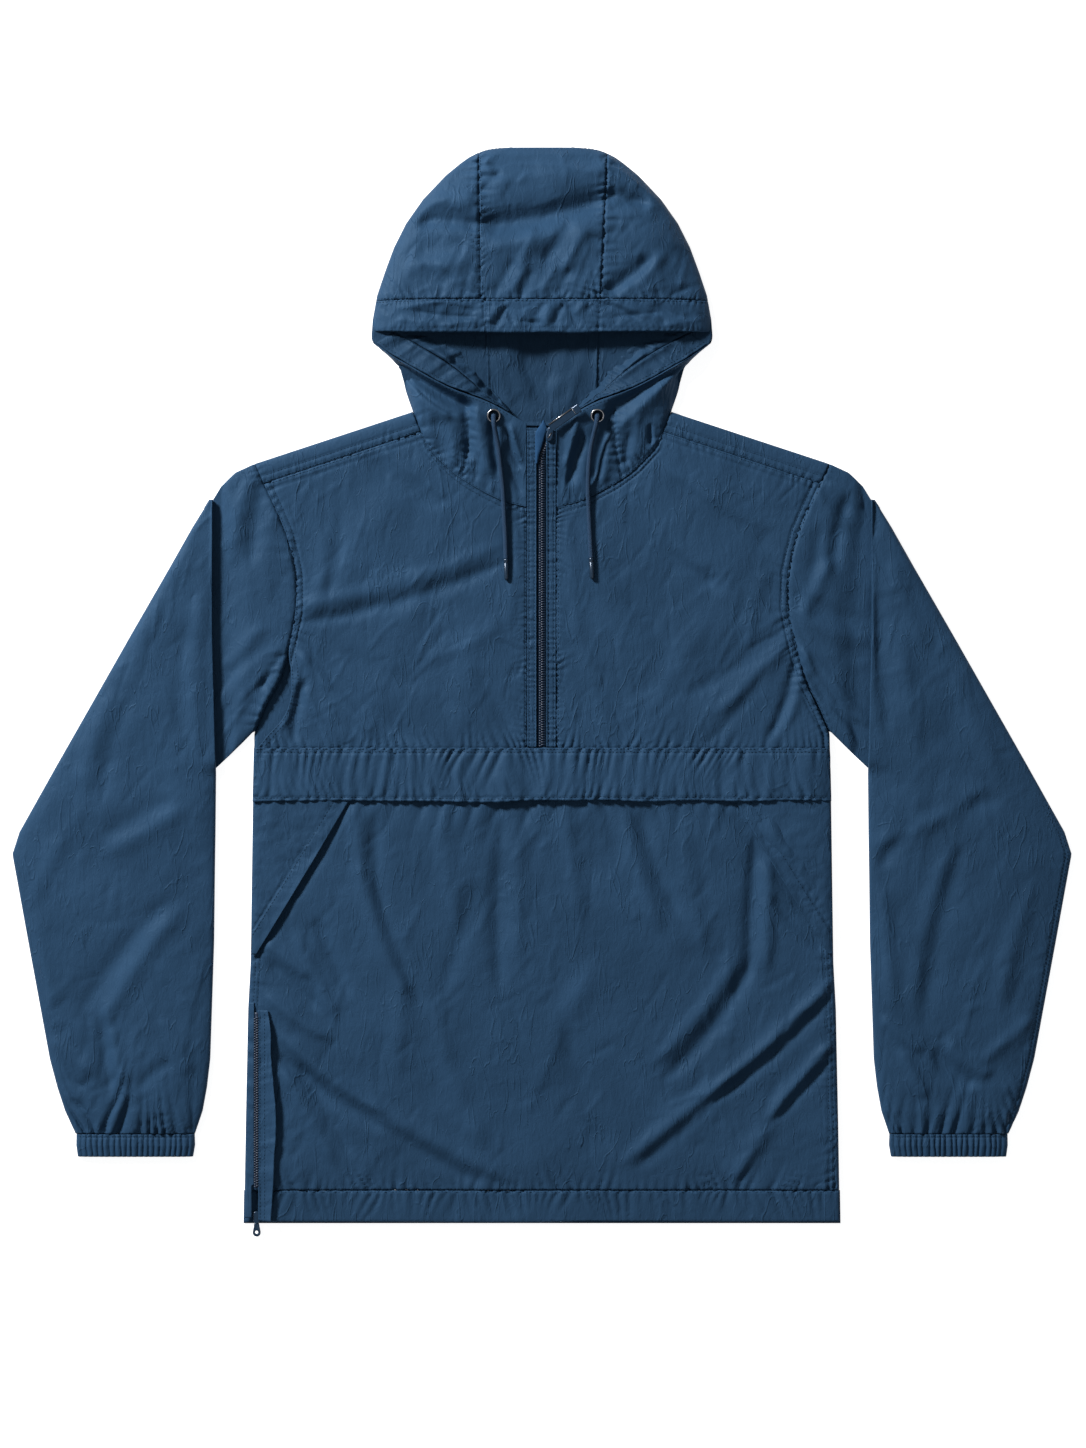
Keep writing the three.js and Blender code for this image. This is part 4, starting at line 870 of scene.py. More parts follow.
def make_stitches(group):
    half_width, height = 0.28, 0.3
    corners = ((0, 4, 2), (0, 3, 4), (0, 5, 3), (0, 2, 5), (1, 2, 4), (1, 4, 3), (1, 3, 5), (1, 5, 2))
    points, faces = [], []
    for middles, reaches, ups in STITCHES[group]:
        for middle, reach, up in zip(middles, reaches, ups):
            across = unit(np.cross(up, reach))
            faces += [tuple(len(points) + k for k in corner) for corner in corners]
            points += [middle - reach, middle + reach, middle + across * half_width,
                       middle - across * half_width, middle + up * height, middle - up * height]
    # Dark stitch material: painted shade of the needle holes
    fitted(new_object(f"stitching_{group}", points, faces, MATERIALS["thread_and_hole_shade"]))


# Materials


class Nodes:
    """Short ways to add and join shader nodes."""

    def __init__(self, name):
        self.material = bpy.data.materials.new(name)
        self.material.use_nodes = True
        self.tree = self.material.node_tree
        self.shader = self.tree.nodes["Principled BSDF"]
        self.coords = self.tree.nodes.new("ShaderNodeTexCoord").outputs["Object"]

    def add(self, kind, inputs=None, **settings):
        node = self.tree.nodes.new(kind)
        for key, value in settings.items():
            setattr(node, key, value)
        for key, value in (inputs or {}).items():
            self.put(node.inputs[key], value)
        return node

    def put(self, socket, value):
        if isinstance(value, bpy.types.NodeSocket):
            self.tree.links.new(value, socket)
        else:
            socket.default_value = value

    def turned_coords(self, turn, stretch=(1, 1, 1)):
        inputs = {"Vector": self.coords, "Scale": stretch, "Rotation": (0, 0, turn)}
        return self.add("ShaderNodeMapping", inputs).outputs[0]

    def texture_noise(self, scale, detail, rough=0.55, distortion=0.0, stretch=(1, 1, 1), turn=0.0):
        return self.add("ShaderNodeTexNoise", {
            "Vector": self.turned_coords(turn, stretch), "Scale": scale, "Detail": detail,
            "Roughness": rough, "Distortion": distortion,
        }).outputs["Fac"]

    def waves(self, scale, turn):
        return self.add("ShaderNodeTexWave", {
            "Vector": self.turned_coords(turn), "Scale": scale, "Distortion": 0.0, "Detail": 1.0,
        }).outputs["Fac"]

    def maths(self, operation, *values):
        return self.add("ShaderNodeMath", dict(enumerate(values)), operation=operation).outputs[0]

    def crease_lines(self, scale, turn):
        """Thin broken lines, steep and leaning, where a stretched noise passes its middle value."""
        swell = self.texture_noise(scale, 2, 0.5, 0.5, (2.2, 0.6, 1), turn)
        distance = self.maths("ABSOLUTE", self.maths("SUBTRACT", swell, 0.5))
        line = self.between(distance, 1.0, 0.0, 0.0, 0.02)
        broken = self.between(self.texture_noise(scale * 0.9, 1), 0.0, 1.0, 0.5, 0.6)
        return self.maths("MULTIPLY", line, broken)

    def between(self, value, low, high, from_low=0.0, from_high=1.0):
        return self.add("ShaderNodeMapRange", {
            "Value": value, "From Min": from_low, "From Max": from_high, "To Min": low, "To Max": high,
        }).outputs[0]

    def colours(self, value, dark, light, low=0.3, high=0.7):
        ramp = self.add("ShaderNodeValToRGB", {"Fac": value})
        for stop, place, colour in zip(ramp.color_ramp.elements, (low, high), (dark, light)):
            stop.position = place
            stop.color = (*colour, 1)
        return ramp.outputs["Color"]

    def bump(self, height, strength, distance, below=None):
        inputs = {"Height": height, "Strength": strength, "Distance": distance}
        if below is not None:
            inputs["Normal"] = below
        return self.add("ShaderNodeBump", inputs).outputs["Normal"]

    def finish(self, **inputs):
        for key, value in inputs.items():
            self.put(self.shader.inputs[key.replace("_", " ")], value)
        return self.material


def tone(colour, share):
    return tuple(c * share for c in colour)


def woven(name, colour, roughness, crinkle=1.0, weave=1.0, specular=0.08):
    """Plain-woven cloth: fine yarn ribs with painted shade between the yarns, soft crinkles and a slightly
    uneven dye.
    """
    n = Nodes(name)
    patchy = n.texture_noise(14, 4, 0.6)
    threads = n.maths("MULTIPLY", n.waves(520, 0.78), n.waves(520, -0.78))
    shade = n.colours(patchy, tone(colour, 0.9), tone(colour, 1.1))
    # Lighter where the yarns cross and darker between them, the same pattern as the weave's bump: painted
    # shade of the weave
    weave_shade = n.between(threads, 0.95, 1.04)
    cloth_colour = n.add("ShaderNodeVectorMath", {0: shade, 1: weave_shade}, operation="MULTIPLY").outputs[0]
    creased = n.texture_noise(85, 4, 0.6, 0.9, (1.7, 0.8, 1), 0.4)
    small = n.texture_noise(300, 2, 0.6, 0.6, (1.6, 0.8, 1), 0.5)
    normal = n.bump(creased, 0.35 * crinkle, 0.0022)
    normal = n.bump(small, 0.25 * crinkle, 0.0006, normal)
    for scale, turn in ((20, 0.3), (34, 0.55)):
        normal = n.bump(n.crease_lines(scale, turn), 0.5 * crinkle, 0.0007, normal)
    normal = n.bump(threads, 0.25 * weave, 0.0001, normal)
    return n.finish(
        Base_Color=cloth_colour,
        Roughness=n.between(patchy, roughness - 0.05, roughness + 0.07, 0.3, 0.7),
        Normal=normal,
        Specular_IOR_Level=specular,
        Specular_Tint=(0.5, 0.75, 1.0, 1),
    )


def braided(name, colour):
    n = Nodes(name)
    strands = n.maths("MAXIMUM", n.waves(300, 0.6), n.waves(300, -0.6))
    return n.finish(
        # Darker in the grooves between strands and lighter on their crowns, the same pattern as the bump:
        # painted shade and painted highlight
        Base_Color=n.colours(strands, tone(colour, 0.6), tone(colour, 1.2), 0.35, 0.9),
        Roughness=n.between(strands, 0.75, 0.6),
        Normal=n.bump(strands, 0.8, 0.0006),
        Specular_IOR_Level=0.2,
    )


def moulded(name, colour, roughness, metallic=0.0):
    n = Nodes(name)
    speckle = n.texture_noise(500, 3, 0.6)
    return n.finish(
        Base_Color=n.colours(speckle, tone(colour, 0.9), tone(colour, 1.08)),
        Roughness=n.between(speckle, roughness - 0.06, roughness + 0.08),
        Metallic=metallic,
        Normal=n.bump(speckle, 0.1, 0.0002),
    )


NYLON = (0.0175, 0.0455, 0.0905)
MATERIALS = {
    "nylon": woven("nylon", NYLON, 0.52),
    "nylon_inside": woven("nylon_inside", tone(NYLON, 0.8), 0.55, 1.2),
    "webbing": woven("webbing", (0.016, 0.052, 0.12), 0.7, 0.4, 2.0),
    "zip_coil": moulded("zip_coil", (0.012, 0.024, 0.05), 0.42),
    "zip_tape": woven("zip_tape", (0.008, 0.018, 0.036), 0.8, 0.3, 2.0),
    "metal": moulded("metal", (0.42, 0.43, 0.45), 0.24, 1.0),
    "painted_metal": moulded("painted_metal", (0.01, 0.03, 0.062), 0.3, 0.3),
    "cord": braided("cord", (0.012, 0.036, 0.078)),
    "tip": moulded("tip", (0.014, 0.03, 0.055), 0.25, 0.3),
    # Stitches far darker than the cloth: painted shade of the needle holes
    "thread_and_hole_shade": woven("thread_and_hole_shade", tone(NYLON, 0.45), 0.7, 0.2, 0.5),
    # Nearly black cloth for the disc in the eyelets' holes: painted shade
    "eyelet_hole_shade": woven("eyelet_hole_shade", tone(NYLON, 0.06), 0.9, 0.2, 0.5, specular=0.02),
}


# Camera


def make_camera():
    data = bpy.data.cameras.new("camera")
    data.lens = LENS
    data.sensor_width = SENSOR
    data.clip_end = 20
    camera = bpy.data.objects.new("camera", data)
    bpy.context.scene.collection.objects.link(camera)
    height = FRAME_HEIGHT / SENSOR * LENS
    camera.location = (FRAME_CENTRE[0] * MM, FRAME_CENTRE[1] * MM, height * MM)
    bpy.context.scene.camera = camera


# The hood's neck: between the neck seam and the lower edge of the face opening


def neck_base(side, shares_u, shares_v):
    """Large form of one half, from its four edges and a soft bulge beside the shoulder."""
    bottom = at_stations(with_depth(NECK_SEAM, side), shares_u)
    bottom[:, 2] = mix(BODY_EDGE_HEIGHT, BODY_LOFT + 0.4, smooth(4 * shares_u))
    placket = ZIP_X + side * PLACKET_HALF_WIDTH
    bottom[-1, 0] = placket
    top = resampled(curve_through(with_depth(OPENING_EDGE, side), 200), shares_u)
    top[-1, 0] = placket
    left = resampled(curve_through(with_depth(NECK_OUTLINE, side), 120), shares_v)
    right = mix(bottom[-1], top[-1], np.asarray(shares_v)[:, None])
    grid = patch(bottom, top, left, right, shares_u, shares_v)
    u, v = shares_u[None, :], shares_v[:, None]
    grid[:, :, 2] += 3.5 * np.sin(math.pi * np.clip(2 * u, 0, 1)) * np.sin(math.pi * v * 0.8)
    return drawn_in(grid)


def height_at(grid, x, y):
    """Height of a grid of cloth at the place nearest in plan."""
    away = (grid[:, :, 0] - x) ** 2 + (grid[:, :, 1] - y) ** 2
    if away.min() > 9:
        return float(body_top(np.array(x, float), np.array(y, float)))
    weights = 1 / (away + 0.01) ** 2
    return float((weights * grid[:, :, 2]).sum() / weights.sum())


Route = namedtuple("Route", "x y above")
CORD_ROUTES = {
    "left": [
        Route(-44.2, 252, 2.8),
        Route(-44.3, 249, 5.6),
        Route(-43.9, 244, 6.6),
        Route(-42.5, 236, 5.0),
        Route(-40.6, 226, 3.6),
        Route(-38.4, 208, 3.2),
        Route(-36.2, 188, 3.0),
        Route(-35.2, 172, 3.2),
        Route(-34.4, 155, 2.8),
        Route(-33.6, 138, 2.6),
        Route(-33.1, 121.4, 2.6),
    ],
    "right": [
        Route(50.6, 252, 2.8),
        Route(50.4, 249, 5.6),
        Route(49.4, 243, 6.6),
        Route(47.2, 234, 5.0),
        Route(44.6, 222, 3.6),
        Route(42.8, 206, 3.2),
        Route(42.2, 188, 3.0),
        Route(42.6, 172, 3.2),
        Route(43.4, 155, 2.8),
        Route(44.3, 138, 2.6),
        Route(45.1, 122.2, 2.6),
    ],
}
SIDES = {"left": -1, "right": 1}


def make_cord(name):
    """Free end of the drawcord, from its eyelet down over the chest, with its moulded tip."""
    side = SIDES[name]
    grid = neck_base(side, np.linspace(0, 1, 81), np.linspace(0, 1, 61))
    route = np.array([(r.x, r.y, height_at(grid, r.x, r.y) + r.above) for r in CORD_ROUTES[name]])
    line = curve_through(route, 40)
    data = bpy.data.curves.new(f"drawcord_{name}_braid", "CURVE")
    data.dimensions = "3D"
    data.bevel_depth = CORD_RADIUS * MM
    data.bevel_resolution = 5
    data.use_fill_caps = True
    spline = data.splines.new("POLY")
    spline.points.add(len(line) - 1)
    placed = (line + (0, CENTRE_SHIFT_Y, 0)) * MM
    for point, place in zip(spline.points, placed):
        point.co = (*place, 1)
    data.materials.append(MATERIALS["cord"])
    cord = bpy.data.objects.new(f"drawcord_{name}_braid", data)
    bpy.context.scene.collection.objects.link(cord)
    heading = unit((line[-1] - line[-2]) * (1, 1, 0))
    profile = [
        (0, 0.9), (0, 1.9), (0.5, TIP_RADIUS), (3, TIP_RADIUS), (3.4, 2.0), (4.0, 2.0), (4.4, TIP_RADIUS),
        (TIP_LENGTH - 3, TIP_RADIUS * 0.95), (TIP_LENGTH - 1, TIP_RADIUS * 0.85),
        (TIP_LENGTH, TIP_RADIUS * 0.5),
    ]
    form = turned(line[-1] + heading * LAYER_GAP, heading, profile)
    tip = fitted(new_object(f"cord_tip_{name}_moulding", *form, MATERIALS["tip"]), f"cord_tip_{name}")
    fitted(cord, f"drawcord_{name}")
    make_eyelet(name, grid, route[0])


def make_eyelet(name, grid, at):
    """Rolled metal ring set in the cloth where the cord comes out, over a nearly black disc that is painted
    shade inside its hole.
    """
    x, y = at[:2]
    reach = 5
    slope_x = (height_at(grid, x + reach, y) - height_at(grid, x - reach, y)) / (2 * reach)
    slope_y = (height_at(grid, x, y + reach) - height_at(grid, x, y - reach)) / (2 * reach)
    up = unit((-slope_x, -slope_y, 1.0))
    centre = np.array([x, y, height_at(grid, x, y)]) + up * EYELET_RISE
    right = unit(np.cross((0, 1, 0), up))
    ahead = np.cross(up, right)
    rolls = [circle(centre + out * EYELET_RADIUS, out, up, EYELET_ROLL, 14)
             for out in circle(np.zeros(3), right, ahead, 1, 48)]
    ring = new_object(f"eyelet_{name}_ring", *through_rings(rolls, around=True), MATERIALS["metal"])
    fitted(ring, f"eyelet_{name}")
    # Nearly black disc under the ring: painted shade in the eyelet's hole
    form = turned(centre - up * 0.8, up, [(0, 5.4), (0.6, 5.4), (0.7, 5.0)], 32)
    fitted(new_object(f"eyelet_{name}_hole_shade", *form, MATERIALS["eyelet_hole_shade"]))


make_camera()
for cord_name in SIDES:
    make_cord(cord_name)


# Body


def back_neck_y(x):
    return NECK_SEAM[0][1] - BACK_NECK_DIP * np.cos(math.pi * x / (2 * NECK_SEAM[0][0]))


def make_back():
    """Back panel and its hem, which lie on the surface and show at the edges alone."""
    shares_u = np.linspace(0, 1, 121)
    shares_v = np.linspace(0, 1, 141)
    half = body_half(HEM_SEAM_Y)
    bottom = np.array([(mix(-half, half, u), HEM_SEAM_Y + SEAM_GAP, 0) for u in shares_u])
    outer = [(half, HEM_SEAM_Y + SEAM_GAP), *((s.half, s.y) for s in BODY_SIDES[1:-1]), *ARMHOLE[::-1]]
    right = resampled(with_depth([(x - SEAM_GAP, y) for x, y in outer], 1), shares_v)
    left = right * (-1, 1, 1)
    neck = [(x, back_neck_y(x) - SEAM_GAP) for x in np.linspace(NECK_SEAM[0][0], -NECK_SEAM[0][0], 21)]
    tip_x, tip_y = ARMHOLE[0][0] - SEAM_GAP, ARMHOLE[0][1]
    top = resampled(with_depth([(-tip_x, tip_y), *neck[::-1], (tip_x, tip_y)], 1), shares_u)
    grid = drawn_in(patch(bottom, top, left, right, shares_u, shares_v))
    x, y = grid[:, :, 0], grid[:, :, 1]
    grid[:, :, 2] = 1.0 + 0.12 * noise(x, y, 30, 3) + crinkles(x, y, 60, 5, height=0.12)
    cloth("back_panel", grid, Cut(550, 716, 0.352))
    y = np.linspace(BACK_HEM_EDGE_Y, HEM_SEAM_Y, 9)[:, None]
    cloth("hem_back", grid_of(mix(-1, 1, shares_u) * body_half(y), y, 1.0), Cut(549, 30))


def make_front(name):
    side = SIDES[name]
    low = BAND_TOP_Y - 5
    shares_u = shares_for(250, 0.9, 1.75, 16)
    shares_v = shares_for(260, 1.0, 1.85, 12)
    placket = ZIP_X + side * PLACKET_HALF_WIDTH
    corner_low = (body_half(low) - 1, low)
    right = at_stations(with_depth([corner_low, *FRONT_EDGES[name][::-1]], side), shares_v)
    bottom = mix(np.array([placket, low, 0.0]), right[0], shares_u[:, None])
    neck = with_depth(NECK_SEAM[:0:-1], side)
    neck[0, 0] = placket
    top = np.empty((len(shares_u), 3))
    at_neck = shares_u <= 0.5
    top[at_neck] = at_stations(neck, shares_u[at_neck] * 2)
    top[~at_neck] = mix(neck[-1], right[-1], (shares_u[~at_neck, None] - 0.5) * 2)
    left = mix(bottom[0], top[0], shares_v[:, None])
    plan = drawn_in(patch(bottom, top, left, right, shares_u, shares_v))
    grid = laid(plan, chest_surface)
    cloth(f"front_{name}", grid, Cut(252, 296, 0.062))
    sew("body", grid, ("right", 1.6), ("right", 6.6), ("top", 1.6), ("top", 5.4, 0.0, 0.4), ("left", 1.8))


def make_yoke(name):
    side = SIDES[name]
    shares_u = np.linspace(0, 1, 101)
    shares_v = np.linspace(0, 1, 15)
    fold_in, seam_in = with_depth(NECK_SEAM[:2], side)
    fold_out, seam_out = with_depth(ARMHOLE[:2], side)
    u, v = shares_u[:, None], shares_v[:, None]
    plan = drawn_in(patch(
        mix(seam_in, seam_out, u), mix(fold_in, fold_out, u),
        mix(seam_in, fold_in, v), mix(seam_out, fold_out, v), shares_u, shares_v,
    ))
    grid = laid(plan, yoke_surface)
    cloth(f"back_yoke_{name}", grid, Cut(156, 23))
    sew("body", grid, ("bottom", 1.4), ("bottom", 7.0))


def make_pouch():
    y = mix(HEM_SEAM_Y + SEAM_GAP, BAND_TOP_Y - 6, shares_for(402, 1.2, 2.3, 12))[:, None]
    x = (body_half(y) - 1) * (2 * shares_for(546, 1.2, 2.3, 8)[None, :] - 1)
    grid = grid_of(x, y, pouch_surface)
    cloth("pouch_panel", grid, Cut(545, 402))
    sew("body", grid, ("bottom", 1.6), ("left", 5.0, 0.42, 1), ("left", 9.0, 0.42, 1),
        ("right", 5.0), ("right", 9.0))


def hem_surface(x, y):
    total = body_top(x, y) + 0.4
    total += puckers(x, y, level_line(HEM_SEAM_Y, 275), 1.4, 9, 24, 81, 0.8)
    return total + 0.6 * wobble(x, 9, 121) * smooth((y - HEM_EDGE_Y) / 12)


def make_hem():
    u = np.linspace(0, 1, 281)[None, :]
    y = np.linspace(HEM_EDGE_Y, HEM_SEAM_Y, 19)[:, None]
    y = y + 0.8 * wobble(u * 530, 60, 131) * smooth((HEM_SEAM_Y - y) / 20)
    grid = grid_of(mix(SIDE_ZIP_X + 4.2, body_half(y) - 1, u), y, hem_surface)
    from_low = np.clip((y - HEM_EDGE_Y) / 2.5, 0, 1)
    grid[:, :, 2] -= 0.9 * (1 - np.sqrt(1 - (1 - from_low) ** 2))
    cloth("hem_front", grid, Cut(532, 29), wall=1.7)
    sew("body", grid, ("top", 1.2))


def band_surface(x, y):
    down = np.clip((BAND_TOP_Y - y) / (BAND_TOP_Y - BAND_BOTTOM_Y), 0, 1)
    gape = 1.8 * np.exp(-((x - ZIP_X) / 60) ** 2) * down
    total = body_top(x, y) + LAYER_STEP + 1.9 * down + gape + 0.35
    total += 0.8 * wobble(x + 3 * wobble(y, 20, 141), 6.2, 143) + 0.6 * wobble(x - 0.25 * y, 13, 145)
    total += puckers(x, y, level_line(BAND_TOP_Y - 1), 1.9, 9, 22, 147, 0.8, (0, 3))
    total += puckers(x, y, level_line(BAND_BOTTOM_Y + 3), 1.4, 10, 16, 149, 0.8)
    return total + rumple(x, y, 22, 0.4, 151)


def make_band():
    y = np.linspace(BAND_BOTTOM_Y, BAND_TOP_Y, 35)[:, None]
    x = (body_half(y) - 0.8) * (2 * np.linspace(0, 1, 331)[None, :] - 1)
    sag = 1.4 * wobble(x, 46, 153) + 1.6 * np.exp(-((x - 60) / 26) ** 2) - 1.2 * np.exp(-((x + 60) / 30) ** 2)
    grid = grid_of(x, y + sag * smooth((BAND_TOP_Y - y) / 40) * 0.8, band_surface)
    cloth("pocket_band", grid, Cut(531, 49), wall=1.1)
    sew("body", grid, ("top", 1.0), ("top", 4.0), ("bottom", 3.0))


def make_facing(name):
    """Three-sided facing of a hand opening; its slanting edge is free and stands up a little."""
    side = SIDES[name]
    top, slant_top_x, slant_low_y = BAND_BOTTOM_Y + 7, 173, -242
    t = np.linspace(0, 1, 91)[:, None]
    y = mix(top, slant_low_y, t)
    u = shares_for(60, 1.0, 2.2, 6)
    u = np.interp(np.linspace(0, 1, 41), np.linspace(0, 1, len(u)), u)[None, :]
    half = body_half(y) - 1.6
    x = mix(mix(slant_top_x, half - 4, t), half, u)
    from_slant = x - mix(slant_top_x, 262, t)
    gape = 2.4 * np.exp(-from_slant / 9) * np.sin(math.pi * np.clip(t * 1.15 - 0.15, 0, 1))
    x, y = np.broadcast_arrays(side * x, y)
    rough = rumple(x, y, 16, 0.7, 161 + side) + rumple(x, y, 7, 0.3, 163 + side)
    slant = [(side * (slant_top_x + 14), top), (side * 266, slant_low_y + 22)]
    rough += puckers(x, y, slant, 0.6, 7, 9, 165 + side, 0.7)
    grid = grid_of(x, y, body_top(x, y) + LAYER_STEP + gape + rough * smooth(from_slant / 8 + 0.2))
    cloth(f"pocket_facing_{name}", grid, Cut(94, 148, 0.0072), wall=1.0)
    sew("body", grid, ("left", 14))


# Front zip


def placket_grid(name):
    side = SIDES[name]
    near = ZIP_X + side * (ZIP_HALF_WIDTH + SEAM_GAP)
    far = ZIP_X + side * (PLACKET_HALF_WIDTH - SEAM_GAP)
    y = np.linspace(BAND_TOP_Y + 0.6, ZIP_TOP_Y, 191)[:, None]
    x = mix(near, far, np.linspace(0, 1, 13)[None, :])
    across = np.abs(x - ZIP_X)
    turn = math.pi * (y / 5.2 + 0.7 * wobble(y, 13, 171 + side) + 0.12 * wobble(x, 3, 173))
    ripple = (2 * np.abs(np.sin(turn)) ** 0.8 - 1.4) * (0.6 + 0.35 * wobble(y, 8, 175 + side))
    high = zip_top(y) + LAYER_GAP + ripple * (0.4 + 0.6 * smooth((across - 5) / 3))
    for stitch in (ZIP_HALF_WIDTH + 2.2, PLACKET_HALF_WIDTH - 2.2):
        high = high - 0.4 * np.exp(-((across - stitch) / 0.8) ** 2)
    return grid_of(x, y, high + 0.7 * np.exp(-((across - ZIP_HALF_WIDTH - 1.0) / 1.0) ** 2))


def make_placket(name):
    grid = placket_grid(name)
    cloth(f"placket_{name}", grid, Cut(10, 292, 0.0026), coarse=False)
    near, far = ("right", "left") if name == "left" else ("left", "right")
    sew("body", grid, (near, 2.0), (far, 2.0))


def make_front_zip():
    y = np.linspace(BAND_TOP_Y + 0.6, ZIP_TOP_Y, 161)[:, None]
    x = np.linspace(ZIP_X - ZIP_HALF_WIDTH, ZIP_X + ZIP_HALF_WIDTH, 9)[None, :]
    grid = grid_of(x, y, zip_top(y) - 0.5 + LAYER_GAP - 0.5)
    cloth("front_zip", grid, Cut(10, 292, 0.0024), slot="zip_coil", coarse=False)
    bpy.data.objects["front_zip_cloth"].data.materials[0] = MATERIALS["zip_tape"]

    def tooth_place(y):
        return ZIP_X + 4.5 * float(smooth((y - 212) / 18)), y, float(zip_top(y)) - 0.35

    make_teeth("front_zip_teeth", tooth_place, BAND_TOP_Y + 2, ZIP_TOP_Y - 9)


TOOTH_PITCH = 2.3
TOOTH = [(-0.5, 0.25), (-0.3, 0.62), (1.2, 0.66), (2.0, 0.62), (2.3, 0.25)]


def make_teeth(name, tooth_place, low_y, high_y):
    """Two rows of coil turns that reach into each other; a tooth's rows are reach and radius."""
    teeth = []
    for k in range(int((high_y - low_y) / TOOTH_PITCH)):
        for row in (-1, 1):
            place = np.array(tooth_place(low_y + (k + (0.5 if row > 0 else 0)) * TOOTH_PITCH))
            teeth.append(through_rings([
                circle(place + (row * far, 0, 0), (0, 1, 0), (0, 0, 1.1), radius, 8) for far, radius in TOOTH
            ]))
    fitted(new_object(name, *merged(teeth), MATERIALS["zip_coil"]))


def rounded_plate(name, outline, low, high, bevel):
    """A painted plate cut to an outline with its edges rounded over."""
    small = bevel * 0.3
    levels = [(low, bevel), (low + small, small), (low + bevel, 0), (high - bevel, 0),
              (high - small, small), (high, bevel)]
    form = through_rings(plate_rings(outline, levels))
    return new_object(name, *form, MATERIALS["painted_metal"], sharp=(len(outline),))


def softened(outline, per_side=6):
    """Closed outline with its corners rounded, through smooth stations."""
    looped = np.array([outline[-1], *outline, *outline[:2]], float)
    rows = []
    for a, b, c, d in zip(looped, looped[1:], looped[2:], looped[3:]):
        for t in np.linspace(0, 1, per_side, endpoint=False):
            weights = ((1 - t) ** 3, 3 * t**3 - 6 * t**2 + 4, -3 * t**3 + 3 * t**2 + 3 * t + 1, t**3)
            rows.append(sum(weight / 6 * corner for weight, corner in zip(weights, (a, b, c, d))))
    return rows


SLIDER_LOW = float(zip_top(ZIP_TOP_Y)) + LAYER_GAP + 0.3
SLIDER_HEIGHT = 2.6
PULL_THICKNESS = 1.4
PULL_PIVOT = (7.4, 240.2, SLIDER_LOW + SLIDER_HEIGHT + PULL_THICKNESS / 2 + LAYER_GAP)
PULL_TURN = math.atan2(18.4, 26.7)
PULL_TILT = 0.1
PULL_LENGTH = 33
PULL_WIDTH = 7.4


def make_front_slider():
    corners = [(3.1, 228.8), (6.4, 227.4), (9.7, 230.4), (10.9, 236.6), (9.1, 242.4), (6, 242.2), (4.2, 236)]
    high = SLIDER_LOW + SLIDER_HEIGHT
    slider = rounded_plate("front_slider_body", softened(corners), SLIDER_LOW, high, 0.8)
    fitted(slider, "front_slider")
    # Thin silver rod on the dark slider's bridge: painted highlight of its edge
    bridge = rod((5.4, 231.2, high + 0.1), (8.8, 236.4, high + 0.1), 0.45)
    fitted(new_object("front_slider_bridge_highlight", *bridge, MATERIALS["metal"]))
    make_tape_end()


TapeEnd = namedtuple("TapeEnd", "y left right")
TAPE_END = [
    TapeEnd(208, -5.8, -4.2),
    TapeEnd(216, -6.2, -2.6),
    TapeEnd(227, -6.2, 0.8),
    TapeEnd(236.5, -5.9, 3.5),
    TapeEnd(241, -3.2, 4.2),
    TapeEnd(244.5, -0.8, 3.4),
    TapeEnd(247.5, 0.8, 2.1),
]


def make_tape_end():
    """Upper end of the zip's tape, folded out beside the slider like a narrow leaf."""
    y = np.linspace(TAPE_END[-1].y, TAPE_END[0].y, 42)[:, None]
    u = np.linspace(0, 1, 9)[None, :]
    high = zip_top(y) + LAYER_GAP + LAYER_STEP + 0.7 * np.sin(math.pi * u) + 0.3 * wobble(y, 7, 301)
    grid = grid_of(mix(look_up(TAPE_END, "left", y), look_up(TAPE_END, "right", y), u), y, high)
    fitted(shell("zip_tape_end_leaf", grid, MATERIALS["webbing"], coarse=False), "zip_tape_end")


def tilted_pull(points):
    """From the pull's own flat shape to its place: tipped up a little, turned and set on its hinge."""
    place = Matrix.Rotation(PULL_TURN, 3, "Z") @ Matrix.Rotation(-PULL_TILT, 3, "Y")
    return np.asarray(points, float) @ np.array(place).T + PULL_PIVOT


def make_front_pull():
    """Flat tab in dark paint, with a thin bright bar along the side that faces the key light alone, a painted
    highlight of its rim, and another across it near its end.
    """
    half, thick = PULL_WIDTH / 2, PULL_THICKNESS / 2
    corner = 0.5
    outer = np.array([
        (0.4, 0.6 - half), (1, -half), (PULL_LENGTH - corner, -half), (PULL_LENGTH, corner - half),
        (PULL_LENGTH, half - corner), (PULL_LENGTH - corner, half), (1, half), (0.4, half - 0.6),
    ])
    inner = outer + (outer.mean(axis=0) - outer) / (PULL_LENGTH / 2, half) * 0.6
    levels = [(inner, -thick), (outer, 0.3 - thick), (outer, thick - 0.4), (inner, thick - 0.1)]
    points, faces = through_rings([[(*place, z) for place in ring] for ring, z in levels])
    tab = new_object("front_pull_tab", tilted_pull(points), faces, MATERIALS["painted_metal"], sharp=(4, 8))
    # Silver only along the side that faces the key light: painted highlight of the pull's rim
    bar_x, edge = PULL_LENGTH - 6.5, half - 0.35
    points, faces = merged([
        rod((0.8, edge, thick), (bar_x, edge, thick), 0.62),
        rod((bar_x, edge, thick - 0.2), (bar_x, 0.6 - half, thick - 0.2), 0.4),
    ])
    rim = new_object("front_pull_rim_highlight", tilted_pull(points), faces, MATERIALS["metal"])
    fitted(tab, "front_pull", body="front_pull")
    fitted(rim, body="front_pull")


# Side zip on the left of the picture


def side_strip_surface(x, y):
    total = body_top(x, y) + LAYER_STEP
    return total + 0.5 * wobble(y, 7, 181) + 0.35 * wobble(y + 0.4 * x, 3.6, 183) + rumple(x, y, 12, 0.3, 185)


